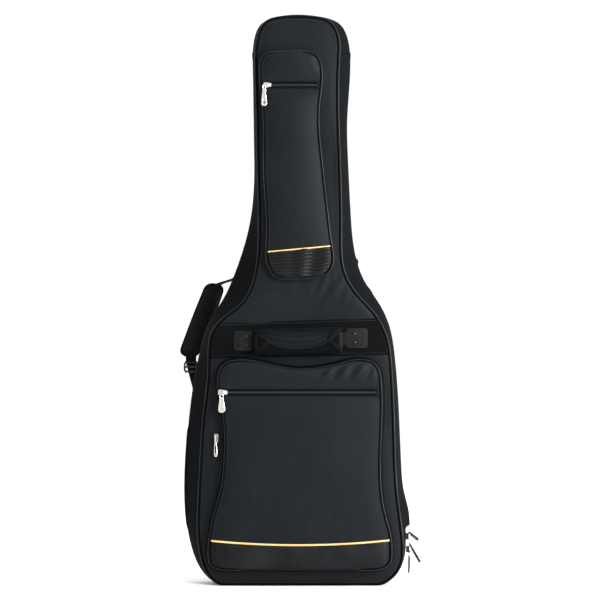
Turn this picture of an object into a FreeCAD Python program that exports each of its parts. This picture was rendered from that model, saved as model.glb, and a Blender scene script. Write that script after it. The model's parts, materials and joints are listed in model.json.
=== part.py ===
import FreeCAD, Part
import math
import os

# A padded gig bag for an electric guitar, standing upright on its flat bottom.
# Millimetres. +Z is up, the front faces -Y, and the origin is the middle of the base.
# The cover opens like a book about the upright seam on the left.

V = FreeCAD.Vector

# ---- driving dimensions ------------------------------------------------------------
ZIP_Y = -8.0            # plane of the main zipper, between cover and back shell
BACK_Y = 42.0           # outer end of the back gusset
FRONT_Y = -54.0         # outer end of the cover's gusset
ZIP_HALF = 5.0          # width of each half of the main zipper
GAP = 0.2               # between pieces that lie on each other
GUSSET = 7.0            # thickness of a padded gusset
DROP = 0.3              # how far the side walls are made too long before they are cut
FABRIC = 1.5            # thickness of the outer cloth
FOAM = 12.0             # thickness of the padding
LINING = 1.5            # thickness of the plush lining
PIPING = 4.0            # width and height of the edge piping
BODY_POCKET_DEPTH = 30.0
NECK_POCKET_DEPTH = 22.0
POCKET_WALL = 2.0
BODY_FLARE = 6.0        # how much wider a pocket is at its base than at its front
NECK_FLARE = 1.0
HANDLE_Z = 451.0        # height of the handle's pivot line
HANDLE_PIVOT_Y = -64.0
GRIP_HALF = 84.0        # half the length of the grip
WEB = 2.5               # thickness of webbing
PULL = 2.2              # thickness of a pull tab

# Side seam, seen from the front: right side from the base up to the head, then the left.
SEAM_RIGHT = [
    (145, 0), (182, 20), (195, 43), (199, 70), (194, 165), (188.5, 270), (183, 376),
    (178, 430), (168, 482), (148, 524), (124, 560), (106, 608), (97, 680), (92, 780),
    (90, 860), (96, 968), (93, 1006), (76, 1042), (40, 1055),
]
SEAM_LEFT = [
    (-40, 1055), (-70, 1042), (-84, 1010), (-86, 960), (-84, 830), (-86, 710), (-98, 643),
    (-117, 584), (-144, 525), (-166, 490), (-184, 436), (-196, 376), (-209, 258),
    (-212, 160), (-207, 100), (-196, 55), (-179, 22), (-146, 0),
]
# The cover's front edge, where its piping runs.
FACE_RIGHT = [
    (140, 0), (172, 14), (187, 34), (192, 77), (182, 162), (176, 282), (171, 400),
    (160, 466), (140, 502), (104, 543), (84, 580), (78, 650), (75, 800), (74, 972),
    (70, 1024), (56, 1043), (30, 1051),
]
FACE_LEFT = [
    (-36, 1051), (-60, 1043), (-76, 1014), (-80, 945), (-77, 806), (-74, 660), (-80, 580),
    (-104, 524), (-140, 494), (-160, 470), (-167, 410), (-176, 317), (-184, 190),
    (-187, 110), (-182, 58), (-168, 20), (-140, 0),
]
# Front edges of the pockets, clockwise from the lower left corner, seen from the front.
BODY_POCKET = [
    (-100, 33), (-146, 33.5), (-161, 41), (-166, 60), (-164, 88), (-157, 128), (-143, 180),
    (-136, 250), (-140, 325), (-148, 385), (-139, 408), (-118, 416), (-84, 415), (-26, 403),
    (20, 401), (80, 412), (122, 417), (141, 408), (150, 380), (151, 300), (149, 200),
    (157, 136), (168, 94), (170, 62), (166, 43), (151, 34), (100, 33), (0, 32.5),
]
NECK_POCKET = [
    (-44, 573), (-56, 590), (-59, 640), (-64, 760), (-66, 880), (-72, 950), (-70, 968),
    (-62, 980), (-46, 984.5), (-14, 985.5), (16, 985), (33, 977), (41, 957), (37, 890),
    (40, 800), (50, 710), (60, 630), (61, 592), (52, 578), (34, 571), (4, 567.5),
    (-24, 567.5),
]
BODY_ZIP_Z = 358.0
BODY_ZIP_X = (-134.0, 142.0)
NECK_ZIP_Z = 924.0
NECK_ZIP_X = (-58.0, 34.0)
ZIP_SLIT = 10.0
BODY_GOLD_Z = 78.0
NECK_GOLD_Z = 622.0

FACE_OUT = FRONT_Y - FABRIC                       # outside of the cover's front cloth
BODY_POCKET_Y = FACE_OUT - GAP - BODY_POCKET_DEPTH
NECK_POCKET_Y = FACE_OUT - GAP - NECK_POCKET_DEPTH
BACK_OUT = BACK_Y + GAP + FABRIC                  # outside of the back cloth
BACK_INSIDE = BACK_Y - FOAM - LINING - 2 * GAP    # inner face of the back lining

NODES = {}


# ---- outlines ----------------------------------------------------------------------
def inset_points(points, inset):
    """Moves each point of an open run of (x, z) towards its left-hand side by inset."""
    moved = []
    last = len(points) - 1
    for i, (x, z) in enumerate(points):
        ax, az = points[max(i - 1, 0)]
        bx, bz = points[min(i + 1, last)]
        length = math.hypot(bx - ax, bz - az)
        moved.append((x - inset * (bz - az) / length, z + inset * (bx - ax) / length))
    return moved


def bag_outline(right, left, y, inset, drop):
    """The bag's outline: a flat bottom, then one smooth curve up, over the head and down."""
    points = inset_points(right + left, inset)
    bottom = inset - drop
    points[0] = (right[0][0] - inset * 0.4, bottom)
    points[-1] = (left[-1][0] + inset * 0.4, bottom)
    curve = Part.BSplineCurve()
    curve.interpolate([V(x, y, z) for x, z in points])
    line = Part.makeLine(V(points[-1][0], y, bottom), V(points[0][0], y, bottom))
    return Part.Wire([curve.toShape(), line])


def seam(y, inset=0.0, drop=0.0):
    return bag_outline(SEAM_RIGHT, SEAM_LEFT, y, inset, drop)


def back_edge(y, inset=0.0, drop=0.0):
    """The back is a little smaller than the side seam, except along the flat bottom."""
    def narrowed(points):
        return [(x * 0.955, z * 0.996) for x, z in points]
    return bag_outline(narrowed(SEAM_RIGHT), narrowed(SEAM_LEFT), y, inset, drop)


def face_edge(y, inset=0.0, drop=0.0):
    return bag_outline(FACE_RIGHT, FACE_LEFT, y, inset, drop)


def pocket_outline(points, y, grow=0.0):
    """A closed smooth outline through the pocket's points, grown outwards by grow."""
    closed = [points[-1]] + points + [points[0]]
    grown = inset_points(closed, grow)[1:-1]
    curve = Part.BSplineCurve()
    curve.interpolate([V(x, y, z) for x, z in grown], PeriodicFlag=True)
    return Part.Wire([curve.toShape()])


# ---- solids ------------------------------------------------------------------------
def loft(first, second):
    return Part.makeLoft([first, second], True, True)


def plate(wire, thickness):
    """A sheet from a flat outline, thickened towards the front for a negative value."""
    return Part.Face(wire).extrude(V(0, thickness, 0))


def frame_of(edges, thickness):
    """The flat frame between an outer and an inner outline."""
    return plate(edges[0], thickness).cut(plate(edges[1], thickness))


def box(x0, x1, y0, y1, z0, z1):
    return Part.makeBox(x1 - x0, y1 - y0, z1 - z0, V(x0, y0, z0))


def rounded(shape, radius, direction):
    """Rounds the edges of a box that run along one direction."""
    edges = []
    for edge in shape.Edges:
        run = edge.Vertexes[-1].Point - edge.Vertexes[0].Point
        if run.Length > 0 and abs(run.normalize().dot(direction)) > 0.999:
            edges.append(edge)
    return shape.makeFillet(radius, edges)


def prism(points, depth):
    """A solid from a closed flat run of points, pushed along depth."""
    wire = Part.makePolygon(points + [points[0]])
    return Part.Face(wire).extrude(depth)


def add(name, shape):
    NODES[name] = shape


# ---- back shell --------------------------------------------------------------------
def gusset(far_edge, seam_y, far_y):
    """The side wall from the zipper seam to a far edge, cut flat where it meets the floor."""
    outside = loft(seam(seam_y, 0, DROP), far_edge(far_y, 0, DROP))
    inside = loft(seam(seam_y, GUSSET), far_edge(far_y, GUSSET))
    above_floor = box(-300, 300, -100, 100, 0, 1100)
    return outside.cut(inside).common(above_floor)


def make_back_shell():
    add("rear_gusset", gusset(back_edge, ZIP_Y + ZIP_HALF + GAP, BACK_Y))
    add("back_panel", plate(back_edge(BACK_Y + GAP), FABRIC))
    add("back_foam", plate(back_edge(BACK_Y - FOAM, GUSSET + 0.6), FOAM))
    add("back_lining", plate(back_edge(BACK_Y - FOAM - GAP - LINING, GUSSET + 0.6), LINING))
    edges = [back_edge(BACK_OUT + GAP, inset) for inset in (0.6, 0.6 + PIPING)]
    add("rear_piping", frame_of(edges, PIPING))


def zip_band(y):
    """One half of the main zipper: a thin band that follows the side seam."""
    return frame_of([seam(y, 0.4), seam(y, 3.4)], ZIP_HALF - GAP)


def make_main_zip():
    add("main_zip_rear", zip_band(ZIP_Y + GAP))
    add("main_zip_front", zip_band(ZIP_Y - ZIP_HALF))


def make_inside_pieces():
    """The neck cradle, the foam block that the guitar's end rests on, and the neck strap."""
    front = -2.0
    block = box(-72, 72, front, BACK_INSIDE - GAP, 640, 700)
    notch = box(-30, 30, front - 1, BACK_INSIDE - 8, 630, 710)
    add("neck_cradle", rounded(block, 10, V(0, 1, 0)).cut(notch))
    add("end_pad", rounded(box(-130, 130, 0, BACK_INSIDE - GAP, 9, 34), 8, V(0, 1, 0)))
    add("neck_strap", box(-41, 40, front - 0.6 - WEB, front - 0.6, 655, 685))
    add("neck_strap_tab", box(-70, -43, front - 0.6 - WEB, front - 0.2, 655, 685))


# ---- cover -------------------------------------------------------------------------
def make_cover():
    add("front_gusset", gusset(face_edge, ZIP_Y - ZIP_HALF - GAP, FRONT_Y))
    add("front_panel", plate(face_edge(FRONT_Y - GAP), -FABRIC + GAP))
    add("front_foam", plate(face_edge(FRONT_Y + GAP, GUSSET + 0.6), FOAM))
    add("front_lining", plate(face_edge(FRONT_Y + 2 * GAP + FOAM, GUSSET + 0.6), LINING))
    edges = [face_edge(FACE_OUT - GAP, inset) for inset in (0.6, 0.6 + PIPING)]
    add("front_piping", frame_of(edges, -PIPING))
    band = box(-190, 190, FACE_OUT - GAP - 1.2, FACE_OUT - GAP, 426, 490)
    inner_face = plate(face_edge(FACE_OUT, 0.6 + PIPING + 0.3), -10)
    add("handle_band", band.common(inner_face))


def pocket(points, flare, front_y, slit_z, slit_x):
    """A tray that opens towards the cover, with a slit across its front for the zipper."""
    base_y = FACE_OUT - GAP
    skin = loft(pocket_outline(points, base_y, flare), pocket_outline(points, front_y))
    hollow = loft(
        pocket_outline(points, base_y, flare - POCKET_WALL),
        pocket_outline(points, front_y + POCKET_WALL, -POCKET_WALL),
    )
    slit = box(slit_x[0], slit_x[1], front_y - 1, front_y + 2 * POCKET_WALL,
               slit_z - ZIP_SLIT / 2, slit_z + ZIP_SLIT / 2)
    return skin.cut(hollow).cut(slit)


def strip(points, front_y, z0, z1, proud):
    """The part of a pocket's front between two heights, as a sheet laid on it."""
    face = plate(pocket_outline(points, front_y - GAP, -3.8 - PIPING), -proud)
    return face.common(box(-300, 300, front_y - 20, front_y, z0, z1))


def edge_ring(points, front_y):
    across = PIPING * 0.6
    edges = [pocket_outline(points, front_y - GAP, -inset) for inset in (1.0, 1.0 + across)]
    return frame_of(edges, -across)


def make_pocket(prefix, points, flare, front_y, zip_z, zip_x, gold_z):
    add(prefix + "_pocket", pocket(points, flare, front_y, zip_z, zip_x))
    add(prefix + "_pocket_piping", edge_ring(points, front_y))
    add(prefix + "_leather_strip", strip(points, front_y, 0, gold_z - 2.4, 1.0))
    add(prefix + "_gold_piping", strip(points, front_y, gold_z - 2.0, gold_z + 2.0, 2.0))
    half = ZIP_SLIT / 2 - GAP
    add(prefix + "_zip", box(zip_x[0] + GAP, zip_x[1] - GAP, front_y - 0.6, front_y + 1.4,
                             zip_z - half, zip_z + half))


# ---- zipper hardware -----------------------------------------------------------------
def flat_slider(x, front_y, z, wide, tall):
    """A slider on a zipper that faces forwards, with the bar that its pull hangs from."""
    body = rounded(box(x - wide / 2, x + wide / 2, front_y - 3.5, front_y, z - tall / 2,
                       z + tall / 2), 2.5, V(0, 1, 0))
    arch = box(x - 2, x + 2, front_y - 6.5, front_y - 3.0, z - tall / 2 + 1, z + tall / 2 - 1)
    return body.fuse(arch).removeSplitter()


def flat_pull(x, front_y, top_z, wide, tall):
    """A pull tab that hangs in front of its slider."""
    tab = box(x - wide / 2, x + wide / 2, front_y - PULL, front_y, top_z - tall, top_z)
    hole = box(x - wide / 4, x + wide / 4, front_y - PULL - 1, front_y + 1,
               top_z - 0.3 * tall, top_z - 3)
    return rounded(tab, wide / 3, V(0, 1, 0)).cut(hole)


def side_slider(x, y, z):
    body = rounded(box(x, x + 3.5, y - 5, y + 5, z - 6, z + 6), 2.5, V(1, 0, 0))
    return body.fuse(box(x + 3.0, x + 6.5, y - 2, y + 2, z - 4.5, z + 4.5)).removeSplitter()


def side_pull(x, y, z, lean, length, wide=9.0):
    """A tab that hangs from the point x, z beside the bag, leaning outwards by lean degrees."""
    tab = box(x, x + PULL, y - wide / 2, y + wide / 2, z - length, z)
    hole = box(x - 1, x + PULL + 1, y - wide / 4, y + wide / 4, z - 0.35 * length, z - 3)
    tab = rounded(tab, 0.3 * wide, V(1, 0, 0)).cut(hole)
    return tab.rotate(V(x + PULL / 2, y, z - 2), V(0, -1, 0), lean)


def make_zip_hardware():
    front = BODY_POCKET_Y - 2.9
    add("body_slider", flat_slider(-140, front, BODY_ZIP_Z, 17, 11))
    add("body_pull", flat_pull(-142, front - 6.8, 352, 12, 31))
    front = NECK_POCKET_Y - 0.9
    add("neck_slider", flat_slider(-58, front, NECK_ZIP_Z, 14, 10))
    add("neck_pull", flat_pull(-64, front - 6.8, 921, 10, 36))
    # the side pocket's zipper runs upright on the left wall of the body pocket
    side_y = FACE_OUT - 14
    wall_x = -147.0
    add("side_zip", box(wall_x - 2, wall_x, side_y - 5, side_y + 5, 190, 312))
    add("side_slider", box(wall_x - 6, wall_x - 2.3, side_y - 5, side_y + 5, 268, 281))
    tab = box(wall_x - 8.6, wall_x - 6.4, side_y - 4, side_y + 4, 230, 268)
    add("side_pull", rounded(tab, 2.5, V(1, 0, 0)))
    # the main zipper's two sliders meet low on the right
    slope = (183 - 199) / (376 - 70)
    for name, z in (("upper", 88.0), ("lower", 64.0)):
        x = 199 + slope * (z - 70) + 2.2
        add("main_slider_" + name, side_slider(x, ZIP_Y, z))
    add("main_pull_upper", side_pull(208, ZIP_Y, 96, 50, 22))
    add("main_pull_lower", side_pull(208.5, ZIP_Y - 4.6, 74, 30, 38, 6.0))
    add("main_pull_spare", side_pull(207.5, ZIP_Y + 4.6, 59, 0, 40, 6.0))


# ---- handle ------------------------------------------------------------------------
def make_handle():
    patch_y = FACE_OUT - GAP - 1.2 - GAP
    for name, x0, x1, z0 in (("left", -120, -87, 434), ("right", 87, 127, 439)):
        patch = rounded(box(x0, x1, patch_y - 2.0, patch_y, z0, z0 + 37), 4, V(0, 1, 0))
        add("handle_anchor_" + name, patch)
    rivets = []
    for x in (-98.0, 104.0):
        for z in (442.0, 463.0):
            rivets.append(Part.makeCylinder(3.2, 1.4, V(x, patch_y - 2.2, z), V(0, -1, 0)))
    add("handle_rivets", Part.makeCompound(rivets))
    webs = []
    for side in (-1, 1):
        outline = [(-4.0, 4.0), (-14.0, 7.0), (-24.0, 13.0), (-24.0, -13.0), (-14.0, -7.0),
                   (-4.0, -4.0)]
        points = [V(side * GRIP_HALF, HANDLE_PIVOT_Y + y + 4, HANDLE_Z + z) for y, z in outline]
        webs.append(prism(points, V(side * 4.0, 0, 0)))
    bar = box(-GRIP_HALF - 0.5, GRIP_HALF + 0.5, HANDLE_PIVOT_Y - 25, HANDLE_PIVOT_Y - 20,
              HANDLE_Z - 13, HANDLE_Z + 13)
    add("handle_webbing", bar.fuse(webs[0]).fuse(webs[1]).removeSplitter())
    grip = box(-GRIP_HALF + 1, GRIP_HALF - 1, HANDLE_PIVOT_Y - 36, HANDLE_PIVOT_Y - 15,
               HANDLE_Z - 25, HANDLE_Z + 29)
    add("handle_grip", rounded(grip, 9, V(1, 0, 0)))


# ---- shoulder straps -----------------------------------------------------------------
STRAP_PIVOT = (BACK_OUT + 5.0, 576.0)      # y and z of the upper hinge line
STRAP_FOOT = (BACK_OUT + 6.0, 116.0)       # y and z of the lower hinge line
LOCK = (76.0, 404.0)                       # y and z of the webbing in the ladder lock


def lean(shape, x_held, z_held, x_free, z_free):
    """Leans an upright shape sideways about its held end, until its free end is at x_free."""
    angle = math.degrees(math.atan((x_free - x_held) / (z_held - z_free)))
    return shape.rotate(V(x_held, 0, z_held), V(0, -1, 0), angle)


def strap_pad(x, half, top, bottom, bow, thick):
    """A padded strap that bows out backwards between its two ends."""
    middle_z = (top[1] + bottom[1]) / 2
    inner = Part.Arc(V(x - half, top[0], top[1]), V(x - half, bow, middle_z),
                     V(x - half, bottom[0], bottom[1])).toShape()
    outer = Part.Arc(V(x - half, top[0] + thick, top[1] + 2),
                     V(x - half, bow + thick, middle_z),
                     V(x - half, bottom[0] + thick, bottom[1] - 2)).toShape()
    ends = [Part.makeLine(inner.Vertexes[i].Point, outer.Vertexes[i].Point) for i in (0, 1)]
    wire = Part.Wire(Part.__sortEdges__([inner, outer] + ends))
    return Part.Face(wire).extrude(V(2 * half, 0, 0))


def slab(x, half, start, end, thick):
    """A straight strap in an upright plane between two (y, z) points."""
    y0, z0 = start
    y1, z1 = end
    length = math.hypot(y1 - y0, z1 - z0)
    ny = -(z1 - z0) / length * thick / 2
    nz = (y1 - y0) / length * thick / 2
    points = [V(x - half, y0 + ny, z0 + nz), V(x - half, y1 + ny, z1 + nz),
              V(x - half, y1 - ny, z1 - nz), V(x - half, y0 - ny, z0 - nz)]
    return prism(points, V(2 * half, 0, 0))


def make_strap(side, x_anchor, x_top, x_lock, x_foot):
    pad_top = (62.0, 556.0)
    pad_bottom = (84.0, 416.0)
    pad = strap_pad(x_top, 20, pad_top, pad_bottom, 118.0, 13.0)
    add("strap_pad_" + side, lean(pad, x_top, pad_top[1], x_lock, pad_bottom[1]))
    web_ends = [(x_anchor, STRAP_PIVOT[1]), (x_top, pad_top[1] + 9)]
    web = [V(x, pad_top[0] - 10, z) for x, z in web_ends]
    web += [V(x, pad_top[0] - 10, z - WEB) for x, z in reversed(web_ends)]
    add("strap_upper_web_" + side, prism(web, V(0, 20, 0)))
    frame = box(x_lock - 16, x_lock + 16, LOCK[0] + 7, LOCK[0] + 12, LOCK[1] - 14, LOCK[1] + 9)
    for z in (LOCK[1] - 10, LOCK[1]):
        frame = frame.cut(box(x_lock - 12, x_lock + 12, LOCK[0], LOCK[0] + 20, z, z + 5))
    add("ladder_lock_" + side, frame)
    slope_y = (LOCK[0] - STRAP_FOOT[0]) / (LOCK[1] - STRAP_FOOT[1])
    tail = 52.0
    foot = (STRAP_FOOT[0] + 8 * slope_y, STRAP_FOOT[1] + 8)
    end = (LOCK[0] + tail * slope_y, LOCK[1] + tail)
    web = slab(x_foot, 10, foot, end, WEB)
    add("strap_lower_web_" + side, lean(web, x_foot, STRAP_FOOT[1], x_lock, LOCK[1]))
    add("strap_foot_tab_" + side, box(x_foot - 14, x_foot + 14, BACK_OUT + GAP,
                                      BACK_OUT + GAP + 3, STRAP_FOOT[1] - 22, STRAP_FOOT[1] - 2))


def make_back_fittings():
    add("strap_anchor_patch", rounded(box(-85, 85, BACK_OUT + GAP, BACK_OUT + GAP + 2,
                                          603, 650), 8, V(0, 1, 0)))
    loop = box(-13, 13, BACK_OUT + GAP, BACK_OUT + 18, 975, 1022)
    gap = box(-14, 14, BACK_OUT + GAP + WEB, BACK_OUT + 18 - WEB, 975 + WEB, 1022 - WEB)
    add("hang_loop", loop.cut(gap))


make_back_shell()
make_main_zip()
make_inside_pieces()
make_cover()
make_pocket("body", BODY_POCKET, BODY_FLARE, BODY_POCKET_Y, BODY_ZIP_Z, BODY_ZIP_X,
            BODY_GOLD_Z)
make_pocket("neck", NECK_POCKET, NECK_FLARE, NECK_POCKET_Y, NECK_ZIP_Z, NECK_ZIP_X,
            NECK_GOLD_Z)
make_zip_hardware()
make_handle()
make_strap("left", -106.0, -158.0, -204.0, -126.0)
make_strap("right", 92.0, 112.0, 146.0, 118.0)
make_back_fittings()

os.makedirs("parts", exist_ok=True)
for node, solid in NODES.items():
    solid.exportStep("parts/" + node + ".step")
    print(node, round(solid.Volume / 1000, 1), "cm3", solid.isValid(), len(solid.Solids))
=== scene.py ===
import json
import math

import bpy
import bmesh
import numpy as np
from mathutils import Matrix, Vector


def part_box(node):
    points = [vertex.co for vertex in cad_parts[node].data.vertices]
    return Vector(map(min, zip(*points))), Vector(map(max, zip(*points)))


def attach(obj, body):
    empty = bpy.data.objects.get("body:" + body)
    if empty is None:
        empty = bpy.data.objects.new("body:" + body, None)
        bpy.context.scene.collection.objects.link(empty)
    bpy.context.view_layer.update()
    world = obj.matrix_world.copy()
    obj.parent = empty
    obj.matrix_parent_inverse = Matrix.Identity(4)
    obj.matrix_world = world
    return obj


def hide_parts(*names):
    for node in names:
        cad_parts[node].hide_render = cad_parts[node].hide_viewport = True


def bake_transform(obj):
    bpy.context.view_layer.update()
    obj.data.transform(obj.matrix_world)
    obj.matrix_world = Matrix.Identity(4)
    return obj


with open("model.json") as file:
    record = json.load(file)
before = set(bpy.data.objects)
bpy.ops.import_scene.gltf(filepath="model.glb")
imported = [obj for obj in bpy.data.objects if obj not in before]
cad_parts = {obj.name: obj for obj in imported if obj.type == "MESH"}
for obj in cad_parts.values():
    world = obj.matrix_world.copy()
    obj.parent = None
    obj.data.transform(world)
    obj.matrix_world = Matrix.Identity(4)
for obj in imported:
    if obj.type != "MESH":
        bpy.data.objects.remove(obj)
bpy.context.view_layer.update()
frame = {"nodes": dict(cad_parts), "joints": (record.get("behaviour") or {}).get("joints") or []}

# A padded guitar gig bag. Everything is in metres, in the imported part's own frame:
# +Z up, the front faces -Y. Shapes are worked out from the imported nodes' own outlines.

MM = 0.001
X, Y, Z = np.eye(3)


# ---- reading the frame ---------------------------------------------------------------
def node_points(name):
    return np.array([v.co for v in frame["nodes"][name].data.vertices], float)


def box(node):
    """A node's low corner, high corner and centre."""
    low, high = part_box(node)
    return low, high, (low + high) / 2


def joint_at(name):
    """The point that a joint turns about."""
    return [j for j in frame["joints"] if j["name"] == name][0]["pos_m"]


class Edge:
    """The outline of a node's flat face: its ordered loop, and left and right x by height."""

    def __init__(self, node, front=True, skip=None, ring=False):
        points = node_points(node)
        level = points[:, 1].min() if front else points[:, 1].max()
        flat = points[abs(points[:, 1] - level) < 0.05 * MM][:, [0, 2]]
        if ring:
            flat = self.outer_wall(node, points, level)
        if skip is not None:
            low, high = skip
            inside = ((flat[:, 0] > low.x - MM) & (flat[:, 0] < high.x + MM)
                      & (flat[:, 1] > low.z - MM) & (flat[:, 1] < high.z + MM))
            flat = flat[~inside]
        self.y = level
        self.low = flat[:, 1].min()
        self.high = flat[:, 1].max()
        if self.high - self.low > 0.9:
            left, right = [half[np.argsort(half[:, 1])]
                           for half in (flat[flat[:, 0] < 0], flat[flat[:, 0] >= 0])]
        else:
            left, right = self.halves(flat)
        self.path = np.vstack([left, right[::-1]])
        self.left, self.right = self.rising(left), self.rising(right)

    @staticmethod
    def outer_wall(node, points, level):
        """Points of a ring's outer outline: on walls that look away from the bag's spine."""
        kept = set()
        for face in frame["nodes"][node].data.polygons:
            x, z = face.center.x, face.center.z
            away = z - min(max(z, 0.15), 0.95)
            if abs(face.normal.y) < 0.5 and face.normal.x * x + face.normal.z * away > 0:
                kept.update(v for v in face.vertices if abs(points[v, 1] - level) < 0.05 * MM)
        return np.unique(points[sorted(kept)][:, [0, 2]].round(6), axis=0)

    def halves(self, flat):
        """Orders the points about the outline's middle, from its foot up each side."""
        centre = np.array([(flat[:, 0].min() + flat[:, 0].max()) / 2,
                           self.low + 0.4 * (self.high - self.low)])
        away = flat - centre
        turn = np.arctan2(away[:, 0], away[:, 1])
        left = flat[turn < 0][np.argsort(turn[turn < 0])]
        right = flat[turn >= 0][np.argsort(-turn[turn >= 0])]
        return left, right

    @staticmethod
    def rising(side):
        """The same points with z made to rise all the way, so that x follows from z."""
        top = int(np.argmax(side[:, 1]))
        low = int(np.argmin(side[:top + 1, 1]))
        run = side[low:top + 1].copy()
        run[:, 1] = np.maximum.accumulate(run[:, 1]) + np.arange(len(run)) * 1e-7
        return run

    def xl(self, z):
        return np.interp(z, self.left[:, 1], self.left[:, 0])

    def xr(self, z):
        return np.interp(z, self.right[:, 1], self.right[:, 0])

    def loop(self, count, inset=0.0):
        """Evenly spaced (x, z) points, up the left side, over the top and down the right."""
        path = np.vstack([self.path, self.path[:1]])
        run = np.concatenate([[0], np.cumsum(np.hypot(*np.diff(path, axis=0).T))])
        s = np.linspace(0, run[-1], count, endpoint=False)
        out = np.column_stack([np.interp(s, run, path[:, 0]), np.interp(s, run, path[:, 1])])
        if inset:
            out = out - inset * normals(out)
        return out


def normals(loop, closed=True):
    """Outward normals of a clockwise (x, z) loop."""
    if closed:
        step = np.roll(loop, -2, 0) - np.roll(loop, 2, 0)
    else:
        step = np.gradient(loop, axis=0)
    step /= np.maximum(np.hypot(*step.T), 1e-9)[:, None]
    return np.column_stack([-step[:, 1], step[:, 0]])


def smooth_step(t):
    t = np.clip(t, 0, 1)
    return t * t * (3 - 2 * t)


def folds(x, z, wave, seed, turn=0.0, spread=1.0, terms=7):
    """Soft irregular creases: sines of random direction about turn, between -1 and 1."""
    rng = np.random.default_rng(seed)
    total = np.zeros_like(x, float)
    for _ in range(terms):
        angle = turn + spread * rng.normal()
        length = wave * rng.uniform(0.6, 1.6)
        phase = rng.uniform(0, 2 * math.pi)
        warp = 0.5 * np.sin(2.1 * (x * math.sin(angle) - z * math.cos(angle)) / length + phase)
        along = (x * math.cos(angle) + z * math.sin(angle)) / length * 2 * math.pi
        total += np.sin(along + warp + phase)
    return total / terms ** 0.5 / 1.5


# ---- materials -----------------------------------------------------------------------
class Nodes:
    """A short way to write a material's node tree."""

    def __init__(self, name):
        self.material = bpy.data.materials.new(name)
        self.material.use_nodes = True
        self.tree = self.material.node_tree
        self.shader = self.tree.nodes["Principled BSDF"]
        self.where = self.add("ShaderNodeTexCoord").outputs["Object"]

    def add(self, kind, **values):
        node = self.tree.nodes.new(kind)
        for key, value in values.items():
            setattr(node, key, value)
        return node

    def link(self, a, b):
        self.tree.links.new(a, b)

    def value(self, socket, value):
        if hasattr(value, "node"):
            self.link(value, socket)
        else:
            socket.default_value = value

    def math(self, operation, a, b=0.0, clamp=False):
        node = self.add("ShaderNodeMath", operation=operation, use_clamp=clamp)
        self.value(node.inputs[0], a)
        self.value(node.inputs[1], b)
        return node.outputs[0]

    def texture(self, node, mapped, change, **values):
        """A texture node in object coordinates that are scaled or turned first."""
        mapping = self.add("ShaderNodeMapping")
        mapping.inputs[mapped].default_value = change
        self.link(self.where, mapping.inputs["Vector"])
        for key, value in values.items():
            node.inputs[key].default_value = value
        self.link(mapping.outputs[0], node.inputs["Vector"])
        return node.outputs["Fac"]

    def noise(self, scale, detail=3.0, stretch=(1, 1, 1)):
        node = self.add("ShaderNodeTexNoise")
        return self.texture(node, "Scale", stretch, Scale=scale, Detail=detail)

    def wave(self, scale, turn=(0, 0, 0), distortion=0.0):
        node = self.add("ShaderNodeTexWave", bands_direction="X")
        return self.texture(node, "Rotation", turn, Scale=scale, Distortion=distortion)

    def colour(self, low, high, factor, socket="Base Color"):
        node = self.add("ShaderNodeMix", data_type="RGBA")
        node.inputs[6].default_value = (*low, 1)
        node.inputs[7].default_value = (*high, 1)
        self.link(factor, node.inputs[0])
        self.link(node.outputs[2], self.shader.inputs[socket])

    def ramp(self, factor, low, high):
        node = self.add("ShaderNodeMapRange")
        self.link(factor, node.inputs["Value"])
        node.inputs["To Min"].default_value = low
        node.inputs["To Max"].default_value = high
        return node.outputs[0]

    def bump(self, height, strength, distance):
        node = self.add("ShaderNodeBump")
        node.inputs["Strength"].default_value = strength
        node.inputs["Distance"].default_value = distance
        self.link(height, node.inputs["Height"])
        last = self.shader.inputs["Normal"].links
        if last:
            self.link(last[0].from_socket, node.inputs["Normal"])
        self.link(node.outputs[0], self.shader.inputs["Normal"])

    def set(self, **values):
        for key, value in values.items():
            self.value(self.shader.inputs[key.replace("_", " ")], value)


def weave(n, pitch):
    """A plain weave: two crossed sets of yarns, from 0 in the gaps to 1 on the crowns."""
    yarn = 1.0 / pitch / 2
    warp = n.wave(yarn, (0, 0, 0))
    weft = n.wave(yarn, (0, math.pi / 2, 0))
    cross = n.wave(yarn, (0, 0, math.pi / 2))
    return n.math("MULTIPLY", n.math("ADD", n.math("MULTIPLY", warp, weft),
                                     n.math("MULTIPLY", cross, weft)), 0.5)


def nylon_material(name, dark, light, rough=0.5, specular=0.22, pitch=0.9 * MM):
    n = Nodes(name)
    cloth = weave(n, pitch)
    patches = n.noise(9, 4)
    tint = n.math("ADD", n.math("MULTIPLY", patches, 0.5), n.math("MULTIPLY", cloth, 0.6))
    n.colour(dark, light, tint)
    n.set(Roughness=n.ramp(n.noise(60, 5), rough - 0.07, rough + 0.07),
          Specular_IOR_Level=specular)
    n.bump(n.noise(1100, 2), 0.2, 0.15 * MM)
    n.bump(n.noise(45, 4, (1, 1, 0.6)), 0.2, 1.0 * MM)
    return n.material


def leather_material(name, dark, light, rough=0.28, specular=0.3):
    n = Nodes(name)
    grain = n.add("ShaderNodeTexVoronoi", feature="DISTANCE_TO_EDGE")
    grain.inputs["Scale"].default_value = 700
    n.link(n.where, grain.inputs["Vector"])
    n.colour(dark, light, n.noise(35, 5))
    n.set(Roughness=n.ramp(n.noise(90, 4), rough - 0.06, rough + 0.1),
          Specular_IOR_Level=n.ramp(n.noise(18, 2), 0.1 * specular, 1.7 * specular))
    n.bump(grain.outputs["Distance"], 0.12, 0.1 * MM)
    n.bump(n.noise(70, 3), 0.12, 0.5 * MM)
    return n.material


def webbing_material(name, dark, light, turn, pitch=1.6 * MM, specular=0.1):
    n = Nodes(name)
    ribs = n.wave(1.0 / pitch / 2, turn, 0.6)
    n.colour(dark, light, n.math("MULTIPLY", ribs, n.noise(80, 4)))
    n.set(Roughness=0.8, Specular_IOR_Level=specular)
    n.bump(ribs, 0.3, 0.3 * MM)
    n.bump(n.noise(900, 2), 0.3, 0.2 * MM)
    return n.material


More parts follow.
